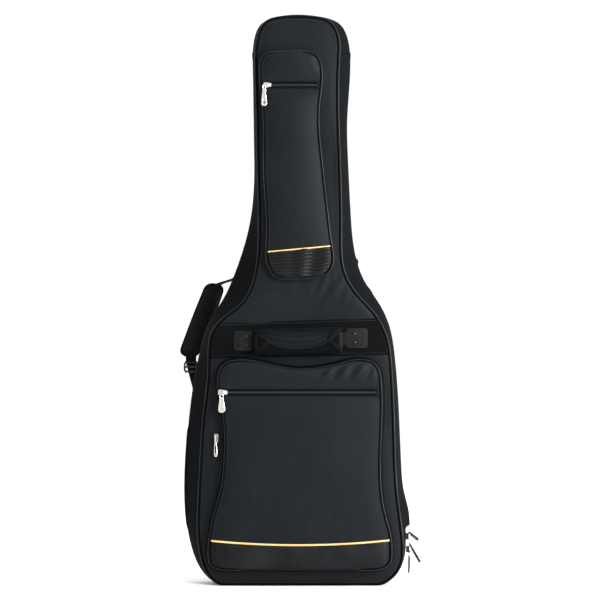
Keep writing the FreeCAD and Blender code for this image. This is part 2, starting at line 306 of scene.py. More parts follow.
def metal_material(name, colour, reflection_dark, rough):
    n = Nodes(name)
    # The darker random patches are painted reflection. They give the contrast that the even white
    # surroundings don't give, and they are not wear.
    n.colour(reflection_dark, colour, n.ramp(n.noise(70, 3), 0.35, 1.0))
    n.set(Metallic=1.0, Roughness=n.ramp(n.noise(200, 3), rough, rough + 0.1))
    n.bump(n.noise(500, 2), 0.03, 0.1 * MM)
    return n.material


def plush_material(name, dark, light):
    n = Nodes(name)
    n.colour(dark, light, n.noise(260, 6))
    n.set(Roughness=0.95, Sheen_Weight=0.6, Sheen_Roughness=0.6, Specular_IOR_Level=0.2)
    n.bump(n.noise(1400, 4), 0.8, 0.6 * MM)
    n.bump(n.noise(60, 4), 0.3, 1.5 * MM)
    return n.material


def plastic_material(name, colour, rough):
    n = Nodes(name)
    n.colour(tuple(0.7 * c for c in colour), colour, n.noise(120, 4))
    n.set(Roughness=n.ramp(n.noise(500, 3), rough, rough + 0.12), Specular_IOR_Level=0.35)
    n.bump(n.noise(1800, 2), 0.15, 0.1 * MM)
    return n.material


NYLON = nylon_material("black_nylon", (0.0017, 0.0026, 0.0034), (0.0048, 0.0067, 0.0084), 0.44,
                       0.075)
# The same black nylon as the front, painted darker as shade for the side bands and pocket walls.
# It is also rougher and less shiny.
SHADED_SIDE_NYLON = nylon_material("gusset_nylon", (0.0009, 0.0013, 0.0017), (0.0026, 0.0035, 0.0042),
                            0.8, 0.035)
BAND = webbing_material("matte_band", (0.0006, 0.0009, 0.0011), (0.0019, 0.0025, 0.0030),
                        (0, math.pi / 2, 0), 2.4 * MM, 0.05)
WEB = webbing_material("black_webbing", (0.0012, 0.0013, 0.0015), (0.0045, 0.0048, 0.0054),
                       (0, 0, 0), 1.6 * MM, 0.07)
PAD = nylon_material("pad_cloth", (0.0010, 0.0016, 0.0021), (0.0030, 0.0042, 0.0054), 0.6, 0.07,
                     1.2 * MM)
PAD_DARK = nylon_material("wrap_cloth", (0.0007, 0.0009, 0.0011), (0.0016, 0.0020, 0.0023),
                          0.6, 0.04, 1.2 * MM)
PIPING = nylon_material("piping_cloth", (0.0005, 0.0006, 0.0008), (0.0014, 0.0017, 0.0021), 0.7,
                        0.03)
# A lighter vinyl look for thin tubes beside the piping. These are painted highlight lines, not a
# part of the bag.
HIGHLIGHT_WELT = leather_material("welt_vinyl", (0.0040, 0.0048, 0.0056), (0.0095, 0.011, 0.0125), 0.36,
                        0.24)
LEATHER = leather_material("leatherette", (0.0012, 0.0014, 0.0017), (0.0035, 0.004, 0.0045),
                           0.3, 0.12)
PATCH = leather_material("anchor_patch", (0.0012, 0.0014, 0.0016), (0.0034, 0.0038, 0.0042),
                         0.42, 0.12)
GOLD = webbing_material("gold_piping", (0.38, 0.23, 0.065), (0.82, 0.60, 0.30),
                        (0, 0.6, 0), 1.4 * MM, 0.3)
SATIN = nylon_material("zip_satin", (0.0015, 0.0023, 0.0030), (0.0040, 0.0056, 0.0070), 0.6,
                       0.12)
TAPE = webbing_material("zip_tape", (0.0008, 0.0008, 0.0009), (0.0024, 0.0025, 0.0028),
                        (0, math.pi / 2, 0), 0.9 * MM, 0.05)
TEETH = plastic_material("zip_coil", (0.004, 0.0043, 0.0047), 0.36)
THREAD = plastic_material("stitch_thread", (0.0065, 0.0072, 0.008), 0.6)
NICKEL = metal_material("nickel", (0.56, 0.55, 0.53), (0.36, 0.35, 0.33), 0.2)
BLACK_METAL = metal_material("black_slider", (0.035, 0.035, 0.037), (0.014, 0.014, 0.015), 0.3)
PLUSH = plush_material("plush_lining", (0.028, 0.029, 0.032), (0.06, 0.062, 0.067))
FOAM = plush_material("foam", (0.12, 0.12, 0.125), (0.2, 0.2, 0.21))
PLASTIC = plastic_material("buckle_plastic", (0.008, 0.008, 0.0085), 0.38)


# ---- mesh helpers ----------------------------------------------------------------------
def linked(name, data):
    """A new object of the scene."""
    obj = bpy.data.objects.new(name, data)
    bpy.context.scene.collection.objects.link(obj)
    return obj


def piece(name, verts, faces, material, body=None, slot=None, replaces=(), smooth=True):
    """A mesh object from points and faces, riding on a body."""
    mesh = bpy.data.meshes.new(name)
    mesh.from_pydata([tuple(map(float, v)) for v in verts], [],
                     [tuple(map(int, f)) for f in faces])
    mesh.update()
    obj = linked(name, mesh)
    mesh.materials.append(material)
    mesh.polygons.foreach_set("use_smooth", [smooth] * len(mesh.polygons))
    if body:
        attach(obj, body)
    if replaces:
        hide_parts(*replaces)
    return obj


def grid_faces(rows, cols, close_cols=False, start=0):
    """Quads of a grid of rows by cols points, counted row by row."""
    across = cols if close_cols else cols - 1
    i, j = np.meshgrid(np.arange(rows - 1), np.arange(across), indexing="ij")
    k = (j + 1) % cols
    a, b, c, d = i * cols + j, i * cols + k, (i + 1) * cols + k, (i + 1) * cols + j
    return (start + np.stack([a, b, c, d], -1).reshape(-1, 4)).tolist()


def capped_faces(rows, cols):
    """Faces of a tube of rows rings with cols points each, closed at both ends."""
    return grid_faces(rows, cols, True) + [list(range(cols))[::-1],
                                           list(range((rows - 1) * cols, rows * cols))]


def rounded(value, power):
    """A sine or cosine made squarer, which turns a circle into a rounded box."""
    return np.sign(value) * abs(value) ** power


def facing(verts, faces, outward):
    """The same faces, turned if the first one looks away from outward."""
    a, b, c = (np.array(verts[i]) for i in faces[0][:3])
    looks = np.dot(np.cross(b - a, c - b), outward)
    return faces if looks > 0 else [f[::-1] for f in faces]


def modifier(obj, kind, **values):
    m = obj.modifiers.new(kind.lower(), kind)
    for key, value in values.items():
        setattr(m, key, value)
    return m


def solidify(obj, thickness, offset=-1.0):
    return modifier(obj, "SOLIDIFY", thickness=thickness, offset=offset, use_even_offset=False)


def bevel(obj, width, segments, **values):
    return modifier(obj, "BEVEL", width=width, segments=segments, **values)


def apply_modifiers(obj):
    """Bakes an object's modifiers into its mesh."""
    graph = bpy.context.evaluated_depsgraph_get()
    mesh = bpy.data.meshes.new_from_object(obj.evaluated_get(graph))
    materials = list(obj.data.materials)
    obj.modifiers.clear()
    obj.data = mesh
    if not len(mesh.materials):
        for m in materials:
            mesh.materials.append(m)
    mesh.polygons.foreach_set("use_smooth", [True] * len(mesh.polygons))


def frames_along(path, closed, up=(0, 1, 0)):
    """Tangent, side and normal vectors at each point of a path."""
    if closed:
        tangent = np.roll(path, -1, 0) - np.roll(path, 1, 0)
    else:
        tangent = np.gradient(path, axis=0)
    tangent /= np.linalg.norm(tangent, axis=1)[:, None]
    side = np.cross(tangent, np.array(up, float))
    side /= np.maximum(np.linalg.norm(side, axis=1), 1e-9)[:, None]
    return tangent, side, np.cross(side, tangent)


def sweep(path, profile, closed=False, up=(0, 1, 0), scale=None):
    """Points and faces of a closed profile (side, normal) carried along a path."""
    path = np.array(path, float)
    profile = np.array(profile, float)
    _, side, normal = frames_along(path, closed, up)
    grow = np.ones(len(path)) if scale is None else np.array(scale, float)
    rings = (path[:, None] + side[:, None] * (profile[None, :, :1] * grow[:, None, None])
             + normal[:, None] * (profile[None, :, 1:] * grow[:, None, None]))
    rows, cols = len(path), len(profile)
    verts = rings.reshape(-1, 3)
    if not closed:
        return verts, capped_faces(rows, cols)
    last = (rows - 1) * cols
    faces = grid_faces(rows, cols, True)
    faces += [[last + j, last + (j + 1) % cols, (j + 1) % cols, j] for j in range(cols)]
    return verts, faces


def circle(radius, sides=10):
    a = np.linspace(0, 2 * math.pi, sides, endpoint=False)
    return np.column_stack([radius * np.cos(a), radius * np.sin(a)])


def flat_profile(width, thick, sides=3):
    """A strap's section, wide along side and thin along normal, with rounded edges."""
    a = np.linspace(-math.pi / 2, math.pi / 2, 2 * sides + 1)
    right = np.column_stack([width / 2 - thick / 2 + thick / 2 * np.cos(a),
                             thick / 2 * np.sin(a)])
    return np.vstack([right, -right])


def tube(name, path, radius, material, body, slot, closed=False, sides=10, up=(0, 1, 0),
         replaces=()):
    verts, faces = sweep(path, circle(radius, sides), closed, up)
    return piece(name, verts, faces, material, body, slot, replaces)


def webbing(name, path, width, thick, up, body=None, replaces=(), turned=False):
    """A strap carried along a path, with its flat side towards up unless it is turned."""
    profile = flat_profile(width, thick)
    verts, faces = sweep(path, profile[:, ::-1] if turned else profile, False, up)
    return piece(name, verts, faces, WEB, body, "webbing", replaces)


def merged(parts):
    """Joins (verts, faces) pairs into one."""
    verts, faces, count = [], [], 0
    for v, f in parts:
        verts.append(np.array(v, float))
        faces += [[i + count for i in face] for face in f]
        count += len(v)
    return np.vstack(verts), faces


def block(centre, size, axes=None):
    """A plain box about a centre, turned to axes if they are given."""
    shape = np.array([(x, y, z) for x in (-1, 1) for y in (-1, 1) for z in (-1, 1)], float)
    verts = shape * np.array(size) / 2
    if axes is not None:
        verts = verts @ np.array(axes, float)
    faces = [(0, 1, 3, 2), (4, 6, 7, 5), (0, 4, 5, 1), (2, 3, 7, 6), (0, 2, 6, 4), (1, 5, 7, 3)]
    return verts + np.array(centre), faces


def stitches(name, path, up, body, slot, length=2.6 * MM, gap=1.6 * MM, radius=0.45 * MM):
    """A row of stitches: short raised threads along a path."""
    path = np.array(path, float)
    run = np.concatenate([[0], np.cumsum(np.linalg.norm(np.diff(path, axis=0), axis=1))])
    up = np.array(up, float)
    parts = []
    for s in np.arange(gap, run[-1] - length, length + gap):
        at = [np.array([np.interp(s + f * length, run, path[:, k]) for k in range(3)])
              for f in (0, 0.3, 0.7, 1)]
        lift = [-0.3 * radius, radius, radius, -0.3 * radius]
        curve = np.array([p + up * h for p, h in zip(at, lift)])
        parts.append(sweep(curve, circle(radius, 5), False, tuple(up + 0.01)))
    return piece(name, *merged(parts), THREAD, body, slot)


def to3d(loop, y):
    """(x, z) points lifted to a plane or to a y for each point."""
    return np.column_stack([loop[:, 0], np.broadcast_to(y, len(loop)), loop[:, 1]])


def subdivide(obj, levels=1):
    return modifier(obj, "SUBSURF", levels=levels, render_levels=levels)


# ---- padded pieces by cloth simulation ---------------------------------------------------
def puff(obj, cap, voxel=5 * MM, pressure=4.0):
    """Swells a closed shape like a stuffed cloth cover. No point moves further than cap."""
    modifier(obj, "REMESH", mode="VOXEL", voxel_size=voxel, use_smooth_shade=True)
    apply_modifiers(obj)
    start = np.array([v.co for v in obj.data.vertices], float)
    cloth = obj.modifiers.new("cloth", "CLOTH")
    cloth.settings.use_pressure = True
    cloth.settings.uniform_pressure_force = pressure
    cloth.settings.effector_weights.gravity = 0.0
    cloth.settings.quality = 5
    for step in range(1, 21):
        bpy.context.scene.frame_set(step)
    graph = bpy.context.evaluated_depsgraph_get()
    swollen = obj.evaluated_get(graph)
    end = np.array([v.co for v in swollen.data.vertices], float)
    obj.modifiers.clear()
    bpy.context.scene.frame_set(1)
    move = end - start
    size = np.linalg.norm(move, axis=1)
    move *= (cap * np.tanh(size / cap) / np.maximum(size, 1e-9))[:, None]
    obj.data.vertices.foreach_set("co", (start + move).ravel())
    obj.data.update()
    subdivide(obj, 1)
    apply_modifiers(obj)


# ---- outlines that several pieces share ------------------------------------------------
SEAM = Edge("main_zip_front", front=False, ring=True)
FACE = Edge("front_panel", front=True)
BACK = Edge("back_panel", front=False)
SEAM.low = 0.0
SEAM_REAR_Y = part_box("rear_gusset")[0].y
SEAM_FRONT_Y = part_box("front_gusset")[1].y
HEAD_SEAM_Z = 0.984
HINGE_X, HINGE_LOW, HINGE_HIGH = -0.19, 0.095, 0.30
AROUND, POCKET_AROUND = 640, 420    # points of an outline
CHAIN_TEETH = 980                   # of both halves of the main zipper
COIL_PITCH = 1.5 * MM
POCKET_CLOTH = 1.6 * MM


def bag_sheet(edge, rows, cols, margin):
    """A grid of (x, z) points that fills an outline, with rows closer together at its ends."""
    t = np.linspace(0, 1, rows)
    t = 0.5 - 0.5 * np.cos(math.pi * (0.12 + 0.76 * t))
    t = (t - t[0]) / (t[-1] - t[0])
    z = edge.low + margin + t * (edge.high - edge.low - 2 * margin)
    u = np.linspace(0, 1, cols)
    u = 0.5 * (u + 0.5 - 0.5 * np.cos(math.pi * u))
    left, right = edge.xl(z), edge.xr(z)
    x = left[:, None] + (right - left)[:, None] * u[None]
    zz = np.repeat(z[:, None], cols, 1)
    reach = np.minimum(np.minimum(x - left[:, None], right[:, None] - x),
                       np.minimum(zz - edge.low, edge.high - zz))
    return x, zz, np.maximum(reach, 0)


def sheet_piece(name, x, y, z, outward, thick, *looks):
    """A sheet with thickness from a grid of x, y and z, facing -Y, or +Y if outward > 0."""
    faces = grid_faces(*x.shape)
    if outward > 0:
        faces = [f[::-1] for f in faces]
    verts = np.column_stack([x.ravel(), y.ravel(), z.ravel()])
    solidify(piece(name, verts, faces, *looks), thick)


def cloth_panel(name, edge, outward, body, replaces, crown, rows, cols, shape):
    """A padded flat panel: crowned, rolling down to its piping, with soft creases."""
    x, z, reach = bag_sheet(edge, rows, cols, 0.4 * MM)
    swell = crown * (1 - np.exp(-reach / (14 * MM))) + shape(x, z, reach)
    sheet_piece(name, x, edge.y + outward * swell, z, outward, 1.2 * MM, NYLON, body, "nylon",
                replaces)


def face_creases(x, z, reach):
    """Soft swells, with short slanting creases below the neck pocket and above the band."""
    soft = 0.9 * MM * folds(x, z, 0.22, 11)
    throat = np.exp(-((z - 0.552) / 0.026) ** 2) * np.exp(-((x - 0.055) / 0.045) ** 2)
    soft += 1.3 * MM * throat * folds(x, z, 0.028, 12, -0.45, 0.12)
    foot = np.exp(-((z - 0.02) / 0.012) ** 2)
    soft += 0.5 * MM * foot * folds(x, z, 0.05, 13, 1.5, 0.1)
    return soft * smooth_step(reach / (14 * MM))


def storm_flap(z, side):
    """The zipper flap's cloth stands off the lower right side, and is pinched at its end."""
    above = smooth_step((z - 0.1035) / 0.006)
    return 8.5 * MM * side * above * np.exp(-(np.maximum(z - 0.125, 0) / 0.042) ** 2)


def throat_pinch(x, z):
    """Two folds where the side band turns outward below the neck, on the right side."""
    low = 4.6 * MM * np.exp(-((z - 0.600) / 0.0062) ** 2)
    low -= 1.6 * MM * np.exp(-((z - 0.6125) / 0.006) ** 2)
    high = 3.0 * MM * np.exp(-((z - 0.545) / 0.010) ** 2)
    return (low + high) * smooth_step((x - 0.05) / 0.02)


def gusset(name, first, first_y, second, second_y, body, replaces, seed, flap=False):
    """The padded side band between two outlines. It bulges and carries shallow creases."""
    rings = 18
    a, b = first.loop(AROUND), second.loop(AROUND)
    out = normals(a)
    t = np.linspace(0, 1, rings)
    run = np.linspace(0, 3.0, AROUND, endpoint=False)
    rows = []
    for f in t:
        ring = a * (1 - f) + b * f
        on_floor = smooth_step(ring[:, 1] / (10 * MM))
        crease = folds(run, np.full_like(run, f * 0.05), 0.10, seed, 0.25, 0.35)
        swell = math.sin(math.pi * f) ** 0.7 * (1.4 * MM + 0.35 * MM * crease) * on_floor
        if flap:
            side = smooth_step((ring[:, 0] - 0.15) / 0.02)
            swell = swell + storm_flap(ring[:, 1], side) * (1 - f) ** 1.5
        swell = swell + throat_pinch(ring[:, 0], ring[:, 1]) * math.sin(math.pi * f) ** 0.7
        ring = ring + out * swell[:, None]
        rows.append(to3d(ring, first_y + (second_y - first_y) * f))
    verts = np.vstack(rows)
    faces = facing(verts, grid_faces(rings, AROUND, True), (out[0, 0], 0, out[0, 1]))
    # The side band takes the darker nylon, which is painted shade on the bag's sides.
    solidify(piece(name, verts, faces, SHADED_SIDE_NYLON, body, "nylon", replaces), 5.5 * MM)


def gusset_seam(name, first, first_y, second, second_y, height, body):
    """A bound seam across the side band at one height, on both sides of the head."""
    parts = []
    for side in ("xl", "xr"):
        sign = -1 if side == "xl" else 1
        t = np.linspace(0, 1, 24)
        z = height - 8 * MM * t
        xa, xb = getattr(first, side)(z), getattr(second, side)(z)
        x = xa * (1 - t) + xb * t + sign * np.sin(math.pi * t) ** 0.7 * 1.3 * MM
        path = np.column_stack([x + sign * 0.5 * MM, first_y + (second_y - first_y) * t, z])
        parts.append(sweep(path, flat_profile(9 * MM, 1.4 * MM), False, X))
    piece(name, *merged(parts), BAND, body, "band")


# ---- shell and cover ---------------------------------------------------------------------
cloth_panel("cover_front_cloth", FACE, -1, "cover", ["front_panel"], 2.2 * MM, 300, 90,
            face_creases)
cloth_panel("back_cloth", BACK, 1, "root", ["back_panel"], 2.5 * MM, 220, 70,
            lambda x, z, reach: 0.8 * MM * folds(x, z, 0.12, 11) * smooth_step(reach / 0.02))
gusset("cover_gusset_cloth", SEAM, SEAM_FRONT_Y, FACE, FACE.y + 1.6 * MM, "cover",
       ["front_gusset"], 21, flap=True)
gusset("back_gusset_cloth", SEAM, SEAM_REAR_Y, BACK, BACK.y - 1.6 * MM, "root",
       ["rear_gusset"], 22)
gusset_seam("cover_head_seam", SEAM, SEAM_FRONT_Y, FACE, FACE.y + 1.6 * MM, HEAD_SEAM_Z,
            "cover")
gusset_seam("back_head_seam", SEAM, SEAM_REAR_Y, BACK, BACK.y - 1.6 * MM, HEAD_SEAM_Z,
            "root")


def edge_piping(name, edge, y, radius, inset, body, replaces):
    loop = edge.loop(AROUND, inset)
    loop[:, 1] = np.maximum(loop[:, 1], radius + 0.2 * MM)
    tube(name, to3d(loop, y), radius, PIPING, body, "piping", True, 12, replaces=replaces)


edge_piping("cover_edge_piping", FACE, FACE.y - 0.6 * MM, 2.1 * MM, 1.6 * MM, "cover",
            ["front_piping"])
# A thin lighter tube just outside the front's edge piping: a painted highlight line.
loop = FACE.loop(AROUND, -0.9 * MM)
loop[:, 1] = np.maximum(loop[:, 1], 1.2 * MM)
tube("cover_edge_welt", to3d(loop, FACE.y + 0.2 * MM), 0.9 * MM, HIGHLIGHT_WELT, "cover", "piping", True, 8)
edge_piping("back_edge_piping", BACK, BACK.y + 0.6 * MM, 2.1 * MM, 1.6 * MM, "root",
            ["rear_piping"])
loop = FACE.loop(AROUND, 6.6 * MM)
stitches("cover_edge_stitching", to3d(loop, FACE.y - 1.0 * MM), -Y, "cover", "piping")
loop = BACK.loop(AROUND, 6.6 * MM)
stitches("back_edge_stitching", to3d(loop, BACK.y + 1.2 * MM), Y, "root", "piping")


def main_zip(name, near_y, far_y, body, node, phase):
    """Half of the main zipper: its tape, and every other tooth of the closed chain."""
    loop = SEAM.loop(AROUND, 1.0 * MM)
    depth = abs(far_y - near_y)
    middle = (near_y + far_y) / 2
    profile = flat_profile(depth, 1.4 * MM)[:, ::-1]
    verts, faces = sweep(to3d(loop, middle), profile, True)
    piece(name + "_tape", verts, faces, TAPE, body, "zip_tape", [node])
    teeth = SEAM.loop(CHAIN_TEETH, 0.2 * MM)
    out = normals(teeth)
    parts = []
    toward = math.copysign(1, near_y - far_y)
    for i in range(phase, CHAIN_TEETH, 2):
        nx, nz = out[i]
        if teeth[i, 0] < HINGE_X and HINGE_LOW < teeth[i, 1] < HINGE_HIGH:
            continue
        axes = [(nx, 0, nz), Y, (-nz, 0, nx)]
        centre = (teeth[i, 0], near_y - toward * 1.3 * MM, max(teeth[i, 1], 1.0 * MM))
        parts.append(block(centre, (1.8 * MM, 3.0 * MM, 1.5 * MM), axes))
    obj = piece(name + "_teeth", *merged(parts), TEETH, body, "zip_tape", smooth=False)
    bevel(obj, 0.3 * MM, 1)


def fabric_hinge():
    """Where the cover hangs on the back at the lower left, cloth takes the zipper's place."""
    z = np.linspace(HINGE_LOW - 4 * MM, HINGE_HIGH + 4 * MM, 60)
    x = SEAM.xl(z)
    y0, y1 = SEAM_FRONT_Y - 3 * MM, SEAM_REAR_Y + 3 * MM
    cols = 16
    verts = []
    for f in np.linspace(0, 1, cols):
        free = smooth_step(np.minimum(z - HINGE_LOW, HINGE_HIGH - z) / (18 * MM))
        lift = 1.9 * MM * math.sin(math.pi * f) * free - 0.6 * MM
        verts.append(np.column_stack([x - lift, np.full_like(z, y0 + (y1 - y0) * f), z]))
    obj = piece("cover_fabric_hinge", np.vstack(verts), grid_faces(cols, 60), BAND)
    solidify(obj, 1.4 * MM, 0.0)
    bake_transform(obj)


ZIP_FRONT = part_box("main_zip_front")
ZIP_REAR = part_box("main_zip_rear")
main_zip("cover_zip", ZIP_FRONT[1].y, ZIP_FRONT[0].y, "cover", "main_zip_front", 0)
main_zip("back_zip", ZIP_REAR[0].y, ZIP_REAR[1].y, "root", "main_zip_rear", 1)
fabric_hinge()


# ---- pockets -----------------------------------------------------------------------------
def pocket_creases_body(x, z, reach):
    """A crowned pocket front with slanting creases at the top right of its flap."""
    soft = 0.7 * MM * folds(x, z, 0.20, 31)
    flap = np.exp(-((z - 0.395) / 0.018) ** 2) * smooth_step((x - 0.02) / 0.05)
    soft += 2.6 * MM * flap * folds(x, z, 0.030, 33, -0.6, 0.12)
    foot = np.exp(-((z - 0.10) / 0.05) ** 2) * smooth_step((-x - 0.05) / 0.05)
    soft += 0.7 * MM * foot * folds(x, z, 0.06, 34, 2.2, 0.2)
    return soft * smooth_step(reach / (16 * MM))


def pocket_creases_neck(x, z, reach):
    """A crowned pocket front with small creases near its top."""
    soft = 0.5 * MM * folds(x, z, 0.14, 41)
    top = np.exp(-((z - 0.955) / 0.02) ** 2) * smooth_step(x / 0.03)
    soft += 0.6 * MM * top * folds(x, z, 0.03, 43, 0.6, 0.2)
    return soft * smooth_step(reach / (12 * MM))


class Pocket:
    """A zipped front pocket: cloth front in two parts, walls, piping, zipper and trim.

    The top edge may dip between its corners. Shapes are worked out on a pocket whose top is
    level, in (x, h), and sheet() and front_y() then lower them to the true edge by drop().
    """

    def __init__(self, name, crown, creases):
        self.name = name
        self.zip_low, self.zip_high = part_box(name + "_zip")
        self.zip_z = (self.zip_low.z + self.zip_high.z) / 2
        self.edge = Edge(name + "_pocket", skip=(self.zip_low, self.zip_high))
        low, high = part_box(name + "_pocket")
        self.base_y = high.y
        self.flare = (high.x - low.x - np.ptp(self.edge.path[:, 0])) / 2
        self.crown = crown
        self.creases = creases
        self.lift_from = self.zip_high.z + 8 * MM
        left, right = self.edge.left[-1, 0], self.edge.right[-1, 0]
        top = self.edge.path[(self.edge.path[:, 0] >= left) & (self.edge.path[:, 0] <= right)
                             & (self.edge.path[:, 1] > self.lift_from)]
        top = top[np.argsort(top[:, 0])]
        self.top_x, self.top_dip = top[:, 0], self.edge.high - top[:, 1]

    def drop(self, x, h):
        share = smooth_step((h - self.lift_from) / (self.edge.high - self.lift_from))
        return np.interp(x, self.top_x, self.top_dip, 0, 0) * share

    def front_y(self, x, z):
        """y of the pocket's front cloth at true points x, z."""
        x, z = np.asarray(x, float), np.asarray(z, float)
        h = z
        for _ in range(5):
            h = z + self.drop(x, h)
        return self.level_y(x, h)

    def level_y(self, x, h):
        reach = np.minimum(np.minimum(x - self.edge.xl(h), self.edge.xr(h) - x),
                           np.minimum(h - self.edge.low, self.edge.high - h))
        reach = np.maximum(reach, 0)
        a, b = self.edge.xl(h), self.edge.xr(h)
        across = np.clip(2 * (x - a) / np.maximum(b - a, MM) - 1, -1, 1)
        swell = self.crown * (0.55 * (1 - np.exp(-reach / (16 * MM))) + 1.1 * (1 - across ** 2))
        stiff = np.exp(-((h - self.zip_z) / (24 * MM)) ** 2)
        swell = swell * (1 - 0.78 * stiff) + self.creases(x, h, reach) * (1 - stiff)
        slot = np.exp(-((h - self.zip_z) / (9 * MM)) ** 4)
        inside = smooth_step((x - self.zip_low.x) / 0.006) * smooth_step(
            (self.zip_high.x - x) / 0.006)
        return self.edge.y - swell + slot * inside * 0.8 * MM

    def sheet(self, x, h):
        """A grid of points on the front, from level-topped coordinates."""
        y = self.level_y(x, h)
        return np.column_stack([x.ravel(), y.ravel(), (h - self.drop(x, h)).ravel()])

    def cloth(self):
        parts = []
        rows, cols = 170, 110
        x, h, _ = bag_sheet(self.edge, rows, cols, 0.3 * MM)
        low, high = self.zip_low.z, self.zip_high.z
        for chosen, lip in ((h[:, 0] < low, low), (h[:, 0] > high, high)):
            xs, hs = x[chosen].copy(), h[chosen].copy()
            at = -1 if lip == low else 0
            left, right = self.edge.xl(lip), self.edge.xr(lip)
            share = (xs[at] - xs[at, 0]) / (xs[at, -1] - xs[at, 0])
            xs[at] = left + share * (right - left)
            hs[at] = lip
            parts.append((self.sheet(xs, hs), grid_faces(len(xs), cols)))
        for sign in (-1, 1):
            uu, hh = np.meshgrid(np.linspace(0, 1, 8), np.linspace(low, high, 6))
            if sign < 0:
                a, b = self.edge.xl(hh), np.full_like(hh, self.zip_low.x)
            else:
                a, b = np.full_like(hh, self.zip_high.x), self.edge.xr(hh)
            parts.append((self.sheet(a + (b - a) * uu, hh), grid_faces(6, 8)))
        obj = piece(self.name + "_pocket_front", *merged(parts), NYLON, "cover", "nylon",
                    [self.name + "_pocket"])
        solidify(obj, POCKET_CLOTH)
        ring = self.edge.loop(POCKET_AROUND)
        out = normals(ring)
        rows = []
        rings = 12
        run = np.linspace(0, 1.5, len(ring), endpoint=False)
        for f in np.linspace(0, 1, rings):
            crease = folds(run, np.full_like(run, f * 0.03), 0.07, 51, 0.1, 0.2)
            grow = self.flare * f + math.sin(math.pi * f) * (1.2 * MM + 0.4 * MM * crease)
            rows.append(to3d(ring + out * np.broadcast_to(grow, len(ring))[:, None],
                             self.edge.y + (self.base_y - self.edge.y) * f))
        faces = facing(np.vstack(rows), grid_faces(rings, len(ring), True),
                       (out[0, 0], 0, out[0, 1]))
        # The walls take the darker nylon, which is painted shade on the pocket's side walls.
        wall = piece(self.name + "_pocket_wall", np.vstack(rows), faces, SHADED_SIDE_NYLON, "cover",
                     "nylon")
        solidify(wall, POCKET_CLOTH)
        foot = ring + out * self.flare
        tube(self.name + "_pocket_base_seam", to3d(foot, self.base_y - 0.6 * MM), 1.0 * MM,
             PIPING, "cover", "piping", True, 8)

    def piping(self, radius):
        ring = self.edge.loop(POCKET_AROUND, 1.2 * MM)
        tube(self.name + "_pocket_edge_piping", to3d(ring, self.edge.y - 0.7 * MM), radius,
             PIPING, "cover", "piping", True, 10, replaces=[self.name + "_pocket_piping"])
        # A thin lighter tube just outside the pocket's piping: a painted highlight line.
        ring = self.edge.loop(POCKET_AROUND, -0.9 * MM)
        tube(self.name + "_pocket_welt", to3d(ring, self.edge.y + 0.1 * MM), 0.85 * MM, HIGHLIGHT_WELT,
             "cover", "piping", True, 8)
        ring = self.edge.loop(POCKET_AROUND, 5.0 * MM)
        y = self.front_y(ring[:, 0], ring[:, 1]) - 0.1 * MM
        stitches(self.name + "_pocket_stitching", to3d(ring, y), -Y, "cover", "piping",
                 2.2 * MM, 1.8 * MM, 0.3 * MM)

    def zipper(self):
        """Tape at the bottom of the slot, the closed chain as a crowned strip, and two lips."""
        x0, x1 = self.zip_low.x, self.zip_high.x
        z = self.zip_z
        half = (self.zip_high.z - self.zip_low.z) / 2
        xs = np.linspace(x0, x1, 90)
        y = self.front_y(xs, np.full_like(xs, z))
        path = np.column_stack([xs, y + 2.2 * MM, np.full_like(xs, z)])
        tape = sweep(path, flat_profile(0.9 * MM, 2 * half)[:, ::-1], False, Y)
        a = np.linspace(0, 2 * math.pi, 14, endpoint=False)
        chain = np.column_stack([2.9 * MM * rounded(np.cos(a), 0.6), 1.1 * MM * np.sin(a)])
        path[:, 1] -= 1.4 * MM
        strip = sweep(path, chain, False, Y)
        piece(self.name + "_zip_tape", *tape, TAPE, "cover", "zip_tape", [self.name + "_zip"])
        piece(self.name + "_zip_chain", *strip, SATIN, "cover", "zip_tape")
        teeth = []
        for i, x in enumerate(np.arange(x0 + 1 * MM, x1 - 1 * MM, COIL_PITCH)):
            at = float(np.interp(x, xs, path[:, 1]))
            shift = 0.35 * MM * (-1) ** i
            teeth.append(block((x, at - 1.2 * MM, z + shift), (1.0 * MM, 0.7 * MM, 1.9 * MM)))
        piece(self.name + "_zip_teeth", *merged(teeth), TEETH, "cover", "zip_tape",
              smooth=False)
        lips = []
        for side in (-1, 1):
            lip = z + side * (half + 0.5 * MM)
            yy = self.front_y(xs, np.full_like(xs, lip))
            lips.append(sweep(np.column_stack([xs, yy + 0.2 * MM, np.full_like(xs, lip)]),
                              circle(1.1 * MM, 8)))
            row = lip + side * 4.0 * MM
            yy = self.front_y(xs, np.full_like(xs, row))
            stitches(f"{self.name}_zip_stitching_{'low' if side < 0 else 'high'}",
                     np.column_stack([xs, yy - 0.1 * MM, np.full_like(xs, row)]), -Y,
                     "cover", "piping", 2.2 * MM, 1.6 * MM, 0.3 * MM)
        piece(self.name + "_zip_lips", *merged(lips), NYLON, "cover", "nylon")

